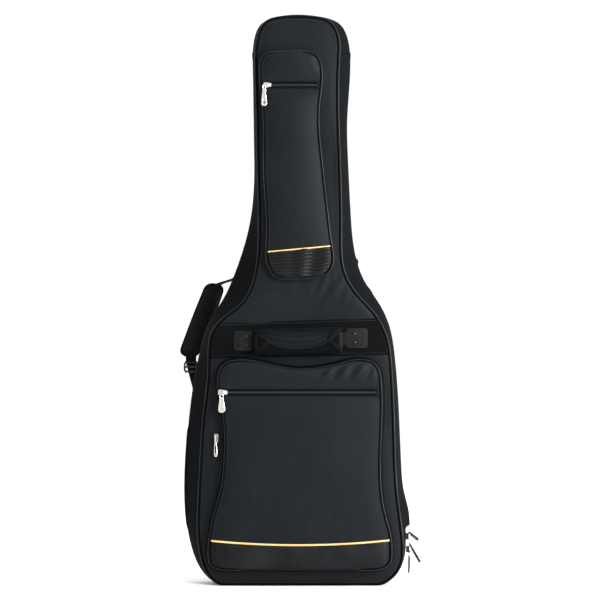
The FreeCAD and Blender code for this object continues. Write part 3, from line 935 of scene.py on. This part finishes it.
    def trim(self, sag, rise, lift, ribs, radius):
        """Gold piping that sags in its middle, and the leatherette panel below it."""
        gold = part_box(self.name + "_gold_piping")
        z_mid = (gold[0].z + gold[1].z) / 2 + lift
        cols = 110
        u = np.linspace(0, 1, cols)
        line = z_mid + rise * (u - 0.5) + sag * ((2 * u - 1) ** 2 - 0.45)
        left = self.edge.xl(line) + 3.0 * MM
        right = self.edge.xr(line) - 3.0 * MM
        xs = left + (right - left) * u
        path = np.column_stack([xs, self.front_y(xs, line) - 1.1 * MM, line])
        tube(self.name + "_gold_cord", path, radius, GOLD, "cover", "gold", sides=10,
             replaces=[self.name + "_gold_piping"])
        rows = 120 if ribs else 50
        bottom = self.edge.low + 2.8 * MM
        verts = []
        for f in np.linspace(0, 1, rows):
            z = bottom + (line - bottom) * f
            a, b = self.edge.xl(z) + 2.8 * MM, self.edge.xr(z) - 2.8 * MM
            x = a + (b - a) * u
            lift_off = 1.1 * MM + 0.25 * MM * folds(x, z, 0.08, 61)
            if ribs:
                lift_off = 0.9 * MM + 1.2 * MM * abs(np.sin(math.pi * ribs * f)) ** 0.8
                lift_off = lift_off + 1.2 * MM * folds(x, z, 0.034, 62, 0.0, 0.15)
            edge = smooth_step(np.minimum(u, 1 - u) / 0.03) * smooth_step(f / 0.06)
            verts.append(np.column_stack([x, self.front_y(x, z) - lift_off * edge, z]))
        obj = piece(self.name + "_leatherette", np.vstack(verts), grid_faces(rows, cols), LEATHER,
                    "cover", "leatherette", [self.name + "_leather_strip"])
        solidify(obj, 1.0 * MM)


BODY = Pocket("body", 4.5 * MM, pocket_creases_body)
NECK = Pocket("neck", 3.5 * MM, pocket_creases_neck)
for pocket, piping_radius in ((BODY, 1.7 * MM), (NECK, 1.6 * MM)):
    pocket.cloth()
    pocket.piping(piping_radius)
    pocket.zipper()
BODY.trim(8.0 * MM, 0.9 * MM, 3.2 * MM, 0, 1.8 * MM)
NECK.trim(0.0, 10.5 * MM, 0.0, 8, 1.3 * MM)


# ---- zipper hardware -----------------------------------------------------------------------
def local(origin, right, up, out):
    """Turns (right, up, out) coordinates into the row frame."""
    axes = np.array([right, up, out], float)

    def place(points):
        return np.array(points, float) @ axes + np.array(origin, float)
    return place


def extrude_outline(points, low, high):
    """A prism of a flat outline (right, up) between two heights along out."""
    count = len(points)
    points = np.array(points, float)
    verts = np.vstack([np.column_stack([points, np.full(count, h)]) for h in (low, high)])
    faces = [[i, (i + 1) % count, count + (i + 1) % count, count + i] for i in range(count)]
    faces += [list(range(count))[::-1], list(range(count, 2 * count))]
    return verts, faces


def arch(width, length, height, thick):
    """The slider's bridge: a flat strip bent over from one end to the other."""
    t = np.linspace(0, 1, 14)
    path = np.column_stack([np.zeros(14), (t - 0.5) * length, height * np.sin(math.pi * t) ** 0.6])
    return sweep(path, flat_profile(width, thick), False, (0, 0.3, 1))


def slider_piece(name, node, place, size, body, material=None, slot="nickel"):
    """A zipper slider: two plates with flared wings, a wedge between, and a bridge."""
    w, h, d = size
    outline = [(-0.5 * w, 0.30 * h), (-0.34 * w, 0.5 * h), (0.34 * w, 0.5 * h),
               (0.5 * w, 0.30 * h), (0.40 * w, -0.15 * h), (0.30 * w, -0.5 * h),
               (-0.30 * w, -0.5 * h), (-0.40 * w, -0.15 * h)]
    top = extrude_outline(outline, 0.32 * d, 0.52 * d)
    low = extrude_outline(outline, -0.05 * d, 0.12 * d)
    core = extrude_outline([(x * 0.35, z * 0.9) for x, z in outline], 0.0, 0.4 * d)
    bridge = arch(0.26 * w, 0.86 * h, 0.42 * d, 0.1 * d)
    bridge = (bridge[0] + np.array([0, 0, 0.5 * d]), bridge[1])
    verts, faces = merged([top, low, core, bridge])
    obj = piece(name, place(verts), faces, material or NICKEL, body, slot, [node], smooth=False)
    bevel(obj, 0.4 * MM, 2, limit_method="ANGLE")


def pull_piece(name, node, place, width, length, thick, body, window, material=None):
    """A pull tab: a solid tapered plate with a rounded tip, hung from a wire loop.

    window is the centre, half length and half width of its slot, as shares of the tab.
    """
    loop_length = min(0.26 * length, 9 * MM)
    top = -loop_length * 0.62
    long = length + top
    side = []
    for t in np.linspace(0, 1, 12):
        half = width * (0.31 + 0.19 * smooth_step(t * 1.1))
        side.append((half, top - t * (long - width * 0.36)))
    tip_z = side[-1][1]
    a = np.linspace(0, math.pi, 11)[1:-1]
    tip = [(width * 0.5 * math.cos(v), tip_z - width * 0.36 * math.sin(v)) for v in a]
    outer = side + tip + [(-x, z) for x, z in reversed(side)]
    middle = top - long * window[0]
    count = len(outer)
    angles = [math.atan2((z - middle) / long, x / width) for x, z in outer]
    inner = [(width * window[2] * rounded(math.cos(v), 0.5),
              middle + long * window[1] * rounded(math.sin(v), 0.5)) for v in angles]
    rim = [(x * 0.86, top + (z - top) * 0.95 - 0.4 * MM) for x, z in outer]
    rings = ((outer, 0.22), (rim, 0.5), (inner, 0.38), (inner, -0.38), (rim, -0.5),
             (outer, -0.22))
    verts = [(x, z, lift * thick) for points, lift in rings for x, z in points]
    faces = []
    for k in range(len(rings)):
        a0, b0 = k * count, ((k + 1) % len(rings)) * count
        for i in range(count):
            j = (i + 1) % count
            faces.append([a0 + i, a0 + j, b0 + j, b0 + i])
    turn = np.linspace(0, 2 * math.pi, 20, endpoint=False)
    wire = np.column_stack([width * 0.25 * np.cos(turn),
                            -loop_length * 0.42 + loop_length * 0.55 * np.sin(turn),
                            0.1 * thick * np.ones(20)])
    loop_part = sweep(wire, circle(max(0.95 * MM, 0.42 * thick), 7), True, (0, 0.02, 1))
    verts, faces = merged([(np.array(verts), faces), loop_part])
    obj = piece(name, place(verts), faces, material or NICKEL, body, "nickel", [node])
    bevel(obj, 0.25 * MM, 2, limit_method="ANGLE")
    modifier(obj, "WEIGHTED_NORMAL")


def front_hardware(prefix, pocket, slide_body, pull_body, window):
    """The slider and the pull tab of a pocket's zipper."""
    low, high, centre = box(prefix + "_slider")
    y = float(pocket.front_y(centre.x, centre.z)) if pocket else high.y
    place = local((centre.x, min(y, high.y + 2.4 * MM), centre.z), Z * -1, X * -1, -Y)
    slider_piece(prefix + "_zip_slider", prefix + "_slider", place,
                 (high.z - low.z, high.x - low.x, 7.5 * MM), slide_body)
    low, high, centre = box(prefix + "_pull")
    place = local((centre.x, centre.y, high.z + 2.5 * MM), X, Z, -Y)
    pull_piece(prefix + "_pull_tab", prefix + "_pull", place, high.x - low.x,
               high.z - low.z + 2.5 * MM, high.y - low.y, pull_body, window)


front_hardware("body", BODY, "body_zip_slider", "body_zip_pull", (0.16, 0.03, 0.08))
front_hardware("neck", NECK, "neck_zip_slider", "neck_zip_pull", (0.80, 0.05, 0.22))


def side_hardware():
    """The small upright zipper on the body pocket's left wall."""
    low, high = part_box("side_zip")
    z = np.linspace(low.z, high.z, 40)
    x = np.interp(z, BODY.edge.left[:, 1], BODY.edge.left[:, 0]) - 4.4 * MM
    y = (low.y + high.y) / 2
    path = np.column_stack([x, np.full_like(z, y), z])
    verts, faces = sweep(path, flat_profile(11 * MM, 1.6 * MM), False, X)
    piece("side_zip_tape", verts, faces, TAPE, "cover", "zip_tape", ["side_zip"])
    parts = []
    for i, at in enumerate(np.arange(low.z + 1 * MM, high.z - 1 * MM, COIL_PITCH)):
        shift = 0.3 * MM * (-1) ** i
        parts.append(block((float(np.interp(at, z, x)) - 1.1 * MM, y + shift, at),
                           (1.2 * MM, 4.2 * MM, 0.8 * MM)))
    piece("side_zip_coil", *merged(parts), TEETH, "cover", "zip_tape", smooth=False)
    low, high, centre = box("side_slider")
    turn = math.radians(52)
    across = np.array([math.sin(turn), -math.cos(turn), 0.0])
    outward = np.array([-math.cos(turn), -math.sin(turn), 0.0])
    place = local((high.x - 1 * MM, centre.y, centre.z - 1.5 * MM), across, Z, outward)
    slider_piece("side_zip_slider", "side_slider", place,
                 (high.y - low.y, high.z - low.z + 3 * MM, 7 * MM), "side_zip_slider")
    low, high, centre = box("side_pull")
    place = local((centre.x + 1.2 * MM, centre.y - 0.5 * MM, high.z + 4.5 * MM), across, Z,
                  outward)
    pull_piece("side_pull_tab", "side_pull", place, high.y - low.y, high.z - low.z - 4 * MM,
               2.2 * MM, "side_zip_pull", (0.5, 0.26, 0.2))


side_hardware()


def main_hardware():
    """The main zipper's sliders and pulls, beside the bag's lower right corner."""
    for which in ("upper", "lower"):
        node = "main_slider_" + which
        low, high, centre = box(node)
        place = local((low.x - 1.5 * MM, centre.y, centre.z), Y, Z, X)
        slider_piece("main_zip_slider_" + which, node, place, (10 * MM, 13 * MM, 11 * MM),
                     f"main_{which}_slider", BLACK_METAL, "black_metal")
    for which, material, thick in (("upper", BLACK_METAL, 2.6 * MM),
                                   ("lower", BLACK_METAL, 3.2 * MM), ("spare", NICKEL, 4 * MM)):
        node = "main_pull_" + which
        pivot = np.array(joint_at(f"main_{which}_pull_swing"))
        points = node_points(node)
        far = points[np.argmax(np.linalg.norm(points - pivot, axis=1))]
        tip = points[np.linalg.norm(points - far, axis=1) < 4 * MM].mean(0)
        tip[1] = pivot[1]
        up = (pivot - tip) / np.linalg.norm(pivot - tip)
        out = np.cross(Y, up)
        turn = math.radians(28)
        across = Y * math.cos(turn) + out * math.sin(turn)
        out = out * math.cos(turn) - Y * math.sin(turn)
        place = local(pivot + up * 2 * MM - X * 2.5 * MM, across, up, out)
        low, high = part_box(node)
        pull_piece("main_pull_tab_" + which, node, place, high.y - low.y,
                   float(np.linalg.norm(pivot - tip)) + 4 * MM, thick, f"main_{which}_pull",
                   (0.55, 0.18, 0.2), material)


main_hardware()


# ---- handle ----------------------------------------------------------------------------
def band_line(share, across):
    """Height of a line along the band, which tilts a little up towards the right."""
    low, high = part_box("handle_band")
    bottom = low.z - 2.5 * MM + 3.2 * MM * across
    top = high.z + 4.5 * MM * across
    return bottom + (top - bottom) * share


def handle():
    """The dark band across the front, its two patches and the grip."""
    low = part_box("handle_band")[0]
    rows, cols = 40, 120
    verts = []
    for f in np.linspace(0, 1, rows):
        z_line = band_line(f, np.linspace(-1, 1, cols))
        a, b = FACE.xl(z_line) + 4.2 * MM, FACE.xr(z_line) - 4.2 * MM
        x = a + (b - a) * np.linspace(0, 1, cols)
        roll = 0.8 * MM * smooth_step(min(f, 1 - f) / 0.05)
        y = low.y - 1.2 * MM - roll - 0.3 * MM * folds(x, z_line, 0.06, 71)
        verts.append(np.column_stack([x, y, z_line]))
    band = piece("handle_band_cloth", np.vstack(verts), grid_faces(rows, cols), BAND, "cover",
                 "band", ["handle_band"])
    solidify(band, 1.4 * MM)
    for f, label in ((0.06, "low"), (0.94, "high")):
        xs = np.linspace(-1, 1, 80)
        z_line = band_line(f, xs)
        a, b = FACE.xl(z_line) + 6 * MM, FACE.xr(z_line) - 6 * MM
        x = a + (b - a) * (xs + 1) / 2
        stitches("band_stitching_" + label,
                 np.column_stack([x, np.full(80, low.y - 2.1 * MM), z_line]), -Y,
                 "cover", "band")
    grip_low, grip_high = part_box("handle_grip")
    pivot = joint_at("handle_swing")
    for side, word in ((-1, "left"), (1, "right")):
        anchor_patch(side, word, grip_high.x, pivot)
    grip_piece(grip_low, grip_high)


def anchor_patch(side, word, grip_end, pivot):
    """A leatherette patch with moulded ribs, two rivets and the webbing that it holds."""
    low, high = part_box("handle_anchor_" + word)
    y = high.y - 1.6 * MM
    corner = 5 * MM
    outline = []
    corners = ((high.x - corner, high.z - corner), (low.x + corner, high.z - corner),
               (low.x + corner, low.z + corner), (high.x - corner, low.z + corner))
    for quarter, (cx, cz) in enumerate(corners):
        for a in np.radians(np.linspace(90 * quarter, 90 * quarter + 90, 7)):
            outline.append((cx + corner * math.cos(a), cz + corner * math.sin(a)))
    place = local((0, y, 0), X, Z, -Y)
    parts = [extrude_outline(outline, 0, 2.2 * MM)]
    outer = low.x if side < 0 else high.x
    for k in range(3):
        x = outer - side * (3.5 + 3.0 * k) * MM
        path = np.column_stack([np.full(12, x), np.linspace(low.z + 5 * MM, high.z - 5 * MM, 12),
                                np.full(12, 2.2 * MM)])
        parts.append(sweep(path, circle(0.9 * MM, 8), False, Z))
    verts, faces = merged(parts)
    obj = piece(f"handle_patch_{word}", place(verts), faces, PATCH, "cover", "patch",
                ["handle_anchor_" + word], smooth=False)
    bevel(obj, 0.8 * MM, 3, limit_method="ANGLE")
    for polygon in obj.data.polygons:
        polygon.use_smooth = True
    modifier(obj, "WEIGHTED_NORMAL")
    path = np.array(outline + outline[:1])
    centre = path.mean(0)
    path = centre + (path - centre) * 0.88
    stitches(f"patch_stitching_{word}", to3d(path, y - 2.3 * MM), -Y, "cover", "patch",
             2.0 * MM, 1.3 * MM, 0.4 * MM)
    rivets = []
    rivet_low, rivet_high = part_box("handle_rivets")
    x = rivet_low.x + 4.5 * MM if side < 0 else rivet_high.x - 4.5 * MM
    middle = (low.z + high.z) / 2
    for z in (middle - 8 * MM, middle + 8 * MM):
        t = np.linspace(0, 1, 8)
        profile = np.column_stack([3.0 * MM * np.cos(t * math.pi / 2),
                                   2.2 * MM + 1.8 * MM * np.sin(t * math.pi / 2)])
        verts, faces = [], []
        for r, h in profile:
            ring = circle(max(r, 0.05 * MM), 18)
            verts.append(np.column_stack([ring + np.array([x, z]), np.full(18, h)]))
        rivets.append((np.vstack(verts), grid_faces(8, 18, True)
                       + [list(range(7 * 18, 8 * 18))]))
    verts, faces = merged(rivets)
    piece(f"handle_rivets_{word}", place(verts), faces, BLACK_METAL, "cover", "nickel",
          ["handle_rivets"])
    # webbing from under the patch's inner edge forward into the grip
    inner = high.x if side < 0 else low.x
    reach = abs(inner) - grip_end
    centre_z = (low.z + high.z) / 2
    sleeve = grip_end - 9 * MM
    control = [(inner + side * 6 * MM, y + 0.2 * MM, centre_z),
               (inner + side * 1 * MM, y + 0.2 * MM, centre_z),
               (inner - side * (reach + 3 * MM), y - 3 * MM, centre_z),
               (side * (sleeve + 5 * MM), y - 13 * MM, pivot[2] + 1 * MM),
               (side * sleeve, pivot[1] - 24 * MM, pivot[2] + 1 * MM),
               (side * (sleeve - 14 * MM), pivot[1] - 26 * MM, pivot[2])]
    path = bezier(control, np.linspace(0, 1, 30))
    obj = webbing(f"handle_web_{word}", path, 25 * MM, 2.4 * MM, Z, None,
                  ["handle_webbing"] if side < 0 else (), True)
    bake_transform(obj)


def bezier(control, t):
    """A point for each t on the Bezier curve of any number of control points."""
    points = [np.repeat(np.array(p, float)[None], len(t), 0) for p in control]
    t = np.array(t)[:, None]
    while len(points) > 1:
        points = [(1 - t) * a + t * b for a, b in zip(points, points[1:])]
    return points[0]


def grip_piece(low, high):
    """A ribbed upper pad held in a wrap that folds up round it, with crossed end straps."""
    centre = (low + high) / 2
    half = (high - low) / 2

    def hull(f, a, swell=0.0):
        """Points at angles a round the grip, at share f of its half length."""
        end = 0.72 + 0.28 * (1 - abs(f) ** 7) ** 0.5
        ry = (half.y - 3 * MM + swell) * end
        rz = (half.z - 4 * MM + swell) * end
        y = centre.y + ry * rounded(np.cos(a), 0.75)
        z = centre.z + rz * rounded(np.sin(a), 0.8) + 2 * MM * f
        return np.column_stack([np.full(len(a), centre.x + half.x * 0.97 * f), y, z])

    rows, cols = 50, 32
    a = np.linspace(0, 2 * math.pi, cols, endpoint=False)
    verts = np.vstack([hull(f, a) for f in np.linspace(-1, 1, rows)])
    faces = capped_faces(rows, cols)
    grip = piece("handle_grip_pad", verts, faces, PAD, "handle", "pad", ["handle_grip"])
    puff(grip, 3 * MM, 4 * MM)

    def flap_edge(f):
        """Angle of the wrap's edge on the front: below the middle, rising to both ends."""
        return math.pi + 0.42 - 1.05 * abs(f) ** 2.4

    verts = [hull(f, np.linspace(flap_edge(f), 2 * math.pi - 0.3, 26), 3.4 * MM)
             for f in np.linspace(-0.93, 0.93, 60)]
    obj = piece("handle_grip_wrap", np.vstack(verts), grid_faces(60, 26), PIPING, "handle",
                "pad")
    solidify(obj, 1.6 * MM, 0.0)
    tube("handle_grip_flap_edge", [row[0] for row in verts], 2.0 * MM, PAD, "handle", "pad",
         sides=8)
    ribs = []
    top = math.pi / 2 + 0.3
    for share in (0.15, 0.37, 0.58, 0.79):
        line = [hull(f, np.array([top + (flap_edge(f) - top) * share]), 2.4 * MM)[0]
                for f in np.linspace(-0.88, 0.88, 50)]
        ribs.append(sweep(line, circle(0.8 * MM, 6)))
    piece("handle_grip_ribs", *merged(ribs), PAD, "handle", "pad")
    straps = []
    for side in (-1, 1):
        for start in (math.pi - 0.8, math.pi + 0.95):
            line = [hull(side * f, np.array([start + (flap_edge(f) - start) * t]),
                         (5.2 - 1.2 * t) * MM)[0]
                    for f, t in zip(np.linspace(0.99, 0.70, 16), np.linspace(0, 1, 16))]
            straps.append(sweep(line, flat_profile(8 * MM, 1.8 * MM)))
    piece("handle_end_straps", *merged(straps), PAD_DARK, "handle", "webbing")


handle()


# ---- straps and back fittings --------------------------------------------------------------
def strap(side, sign):
    """A shoulder strap: padded arc, bound edges, webbing, ladder lock and foot tab."""
    body = "strap_" + side
    points = node_points("strap_pad_" + side)
    low, high = points.min(0), points.max(0)
    depth = np.polyfit(points[:, 2], points[:, 1], 2)
    half_width = 20 * MM
    inner, outer = (high[0], low[0]) if sign < 0 else (low[0], high[0])
    tip = 6 * MM
    lean = np.polyfit((high[2] - tip, low[2] + tip),
                      (inner + sign * half_width * 0.93, outer - sign * half_width * 0.52), 1)
    rows, cols = 44, 20
    t = np.linspace(0, 1, rows)
    z = (high[2] - tip - 1 * MM) * (1 - t) + (low[2] + tip + 1 * MM) * t
    path = np.column_stack([np.polyval(lean, z), np.polyval(depth, z), z])
    tangent = frames_along(path, False)[0]
    across = np.cross(tangent, X)
    across /= np.linalg.norm(across, axis=1)[:, None]
    wide = np.cross(across, tangent)
    a = np.linspace(0, 2 * math.pi, cols, endpoint=False)
    ring_u, ring_v = rounded(np.cos(a), 0.55), rounded(np.sin(a), 0.8)
    near_end = np.clip(np.minimum(t, 1 - t) / 0.09, 0, 1)
    end = 0.42 + 0.58 * np.sqrt(1 - (1 - near_end) ** 2)
    width = 2 * half_width * (0.94 + 0.06 * np.sin(math.pi * t))
    verts = (path[:, None] + wide[:, None] * (ring_u[None, :, None] * width[:, None, None] / 2
                                              * end[:, None, None])
             + across[:, None] * (ring_v[None, :, None] * 5.0 * MM * end[:, None, None]))
    faces = capped_faces(rows, cols)
    pad = piece(f"strap_pad_{side}_cloth", verts.reshape(-1, 3), faces, PAD, body, "pad",
                ["strap_pad_" + side])
    puff(pad, 3.5 * MM, 4 * MM)
    sides = [path + wide * (edge * (width * end / 2 - 1.8 * MM))[:, None] for edge in (-1, 1)]
    tube(f"strap_binding_{side}", np.vstack([sides[0], sides[1][::-1]]), 2.0 * MM, PAD_DARK,
         body, "piping", closed=True, sides=8)
    # upper webbing: flat on the back, then on edge as it crosses to the pad's top
    web_low, web_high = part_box("strap_upper_web_" + side)
    near = web_high.x if sign < 0 else web_low.x
    away = web_low.x if sign < 0 else web_high.x
    control = [(near - sign * 2 * MM, BACK.y + 2 * MM, web_high.z + 2 * MM),
               (near + sign * 5 * MM, BACK.y + 4 * MM, web_high.z - 6 * MM),
               ((near + away) / 2, (web_low.y + web_high.y) / 2, web_low.z - 1 * MM),
               (away - sign * 6 * MM, path[0, 1] - 3 * MM, web_low.z - 2 * MM),
               (path[0, 0] - sign * 4 * MM, path[0, 1], path[0, 2] + 3 * MM), path[4]]
    share = np.linspace(0, 1, 40)
    run = bezier(control, share)
    on_edge = (smooth_step(share / 0.3) * smooth_step((1.05 - share) / 0.3))[:, None]
    up = Y * (1 - on_edge) + Z * on_edge
    yoke_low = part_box("strap_anchor_patch")[0]
    from_yoke = np.array((sign * 0.62 * abs(near), BACK.y + 2 * MM, yoke_low.z + 6 * MM))
    lead = from_yoke + (run[0] - from_yoke) * np.linspace(0, 1, 16)[:-1, None]
    run = np.vstack([lead, run])
    up = np.vstack([np.tile(Y, (len(lead), 1)), up])
    obj = webbing(f"strap_upper_webbing_{side}", run, 17 * MM, 2.4 * MM, up, None,
                  ["strap_upper_web_" + side])
    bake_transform(obj)
    lock_low, lock_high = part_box("ladder_lock_" + side)
    foot_x = (lock_low.x + lock_high.x) / 2
    ladder_lock(side, body, foot_x)
    # lower webbing through the lock, down to its tab
    points = node_points("strap_lower_web_" + side)
    high_end = np.array([foot_x, lock_high.y + 1 * MM, lock_high.z - 2 * MM])
    low_end = points[points[:, 2] < points[:, 2].min() + 6 * MM].mean(0)
    t = np.linspace(0, 1, 40)[:, None]
    run = low_end + (high_end - low_end) * t
    run[:, 1] += 2.0 * MM * np.sin(math.pi * t[:, 0])
    obj = webbing(f"strap_lower_webbing_{side}", run, 20 * MM, 1.8 * MM, Y, None,
                  ["strap_lower_web_" + side])
    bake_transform(obj)
    low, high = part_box("strap_foot_tab_" + side)
    middle = (low.x + high.x) / 2
    control = [(low_end[0], BACK.y + 1.6 * MM, low.z), (low_end[0], BACK.y + 2.4 * MM, high.z),
               (low_end[0], low_end[1] - 1 * MM, low_end[2] - 4 * MM), tuple(run[3])]
    tab_run = bezier(control, np.linspace(0, 1, 16))
    webbing(f"strap_foot_webbing_{side}", tab_run, 21 * MM, 2.2 * MM, Y, "root")
    corner = [(middle - 15 * MM, low.z - 4 * MM), (middle + 15 * MM, low.z - 4 * MM),
              (middle + 11 * MM, high.z - 2 * MM), (middle - 11 * MM, high.z - 2 * MM)]
    place = local((0, BACK.y + 0.4 * MM, 0), X, Z, Y)
    verts, faces = extrude_outline(corner, 0, 3.2 * MM)
    obj = piece(f"strap_foot_patch_{side}", place(verts), faces, PATCH, "root", "patch",
                ["strap_foot_tab_" + side], smooth=False)
    bevel(obj, 0.8 * MM, 3)


def ladder_lock(side, body, foot_x):
    """A moulded strap adjuster with three rounded bars, hung from a loop of webbing."""
    low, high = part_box("ladder_lock_" + side)
    y = (low.y + high.y) / 2
    parts = []
    corner = 4.5 * MM
    a = np.linspace(0, 2 * math.pi, 32, endpoint=False)
    half_x, half_z = (high.x - low.x) / 2 - 3.8 * MM, (high.z - low.z) / 2 - 2.4 * MM
    rim = np.column_stack([(low.x + high.x) / 2 + half_x * rounded(np.cos(a), 0.4),
                           np.full(32, y),
                           (low.z + high.z) / 2 + half_z * rounded(np.sin(a), 0.4)])
    parts.append(sweep(rim, circle(1.8 * MM, 8), True, Y))
    for k, z in enumerate(np.linspace(low.z + 2.4 * MM, high.z - 2.4 * MM, 3)):
        path = np.column_stack([np.linspace(low.x + corner, high.x - corner, 12),
                                np.full(12, y + (1.0 * MM if k == 0 else 0)), np.full(12, z)])
        parts.append(sweep(path, circle(1.9 * MM, 10), False, Y))
    verts, faces = merged(parts)
    piece("strap_adjuster_" + side, verts, faces, PLASTIC, body, "plastic",
          ["ladder_lock_" + side])
    back, front = y + 3.2 * MM, y - 3.2 * MM
    top, turn = high.z + 20 * MM, high.z - 9 * MM
    run = [(foot_x, y + 1 * MM, top), (foot_x, back, high.z + 4 * MM), (foot_x, back, turn),
           (foot_x, front, turn), (foot_x, front, high.z + 4 * MM), (foot_x, y - 1 * MM, top)]
    webbing("strap_lock_loop_" + side, bezier(run, np.linspace(0, 1, 24)), 20 * MM, 1.8 * MM,
            (0, 1, 0.02), body)


strap("left", -1)
strap("right", 1)


def back_fittings():
    """The yoke that holds both straps, and the hang loop between its two patches."""
    low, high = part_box("strap_anchor_patch")
    rows, cols = 24, 60
    u, v = np.meshgrid(np.linspace(0, 1, cols), np.linspace(0, 1, rows))
    x = low.x + (high.x - low.x) * u
    z = low.z + (high.z - low.z) * v - 6 * MM * (2 * u - 1) ** 2 * (1 - v)
    edge = np.minimum(np.minimum(u, 1 - u) * 3, np.minimum(v, 1 - v))
    y = high.y + 2.2 * MM * smooth_step(edge / 0.12) + 0.4 * MM * folds(x, z, 0.05, 81)
    sheet_piece("strap_yoke", x, y, z, 1, 3 * MM, BAND, "root", "band", ["strap_anchor_patch"])
    low, high, centre = box("hang_loop")
    control = [(0, BACK.y + 1.5 * MM, low.z), (0, high.y, low.z + 2 * MM),
               (0, high.y + 4 * MM, centre.z), (0, high.y, high.z - 2 * MM),
               (0, BACK.y + 1.5 * MM, high.z)]
    webbing("hang_loop_webbing", bezier(control, np.linspace(0, 1, 30)), 25 * MM, 2.2 * MM, X,
            "root", ["hang_loop"], True)
    for label, z in (("top", high.z), ("bottom", low.z)):
        verts, faces = block((0, BACK.y + 2.4 * MM, z), (30 * MM, 2.6 * MM, 12 * MM))
        obj = piece("hang_loop_patch_" + label, verts, faces, PATCH, "root", "patch",
                    smooth=False)
        bevel(obj, 0.9 * MM, 3)


back_fittings()


# ---- inside ------------------------------------------------------------------------------
def inside_sheet(node, outward, body):
    """The plush lining of one half, softly quilted."""
    edge = Edge(node, front=outward < 0)
    x, z, reach = bag_sheet(edge, 200, 60, 0.5 * MM)
    quilt = 0.8 * MM * folds(x, z, 0.10, 91)
    swell = 1.0 * MM * (1 - np.exp(-reach / 0.02)) + quilt * smooth_step(reach / 0.03)
    sheet_piece(node + "_plush", x, edge.y + outward * swell, z, outward, 1.0 * MM, PLUSH, body,
                "lining", [node])


inside_sheet("back_lining", -1, "root")
inside_sheet("front_lining", 1, "cover")


def stuffed_copy(node, name, cap, body, material):
    """A swollen cloth cover in the place of a foam block."""
    source = frame["nodes"][node]
    mesh = source.data.copy()
    obj = linked(name, mesh)
    low, high, centre = box(node)
    size = high - low
    for v in mesh.vertices:
        for k in range(3):
            v.co[k] = centre[k] + (v.co[k] - centre[k]) * (1 - 2 * cap / size[k])
    mesh.materials.clear()
    mesh.materials.append(material)
    puff(obj, cap, 4 * MM)
    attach(obj, body)
    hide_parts(node)


stuffed_copy("neck_cradle", "neck_rest_block", 2.5 * MM, "root", PLUSH)
stuffed_copy("end_pad", "end_rest_block", 2.5 * MM, "root", PLUSH)
for node, material in (("neck_strap", WEB), ("neck_strap_tab", WEB), ("back_foam", FOAM),
                       ("front_foam", FOAM)):
    obj = frame["nodes"][node]
    obj.data.materials.clear()
    obj.data.materials.append(material)


# ---- camera, light and floor ----------------------------------------------------------------
def studio():
    """A pale floor, even white surroundings, four soft lights and the camera."""
    floor_mesh = bpy.data.meshes.new("floor")
    reach = 12.0
    verts = [(x, y, 0.0) for y in (-reach, reach) for x in (-reach, reach)]
    floor_mesh.from_pydata(verts, [], grid_faces(2, 2))
    floor = linked("floor", floor_mesh)
    n = Nodes("pale_floor")
    n.set(Base_Color=(0.96, 0.96, 0.96, 1), Roughness=0.9)
    floor_mesh.materials.append(n.material)

    world = bpy.data.worlds.new("studio")
    bpy.context.scene.world = world
    world.use_nodes = True
    world.node_tree.nodes["Background"].inputs[0].default_value = (1, 1, 1, 1)
    world.node_tree.nodes["Background"].inputs[1].default_value = 1.08

    def area(name, where, aim, size, power):
        light = bpy.data.lights.new(name, "AREA")
        light.shape = "RECTANGLE"
        light.size, light.size_y = size
        light.energy = power
        obj = linked(name, light)
        obj.location = where
        obj.rotation_euler = (Vector(aim) - Vector(where)).to_track_quat("-Z", "Y").to_euler()
    aim = (0, 0, 0.5)
    area("key", (1.7, -3.4, 1.3), aim, (0.9, 1.8), 165)
    area("side", (2.8, -0.9, 0.8), aim, (0.8, 1.8), 190)
    area("fill", (-2.4, -2.0, 1.3), aim, (1.0, 2.0), 8)
    area("top", (0, -0.4, 2.6), aim, (1.6, 1.0), 22)

    camera = bpy.data.cameras.new("camera")
    camera.lens = 200
    camera.sensor_width = 36
    obj = linked("camera", camera)
    frame_width = 1.110
    distance = frame_width * camera.lens / camera.sensor_width
    obj.location = (0.002, -distance - 0.05, 0.528)
    obj.rotation_euler = (math.pi / 2, 0, 0)
    bpy.context.scene.camera = obj
    bpy.context.scene.view_settings.view_transform = "Standard"


studio()
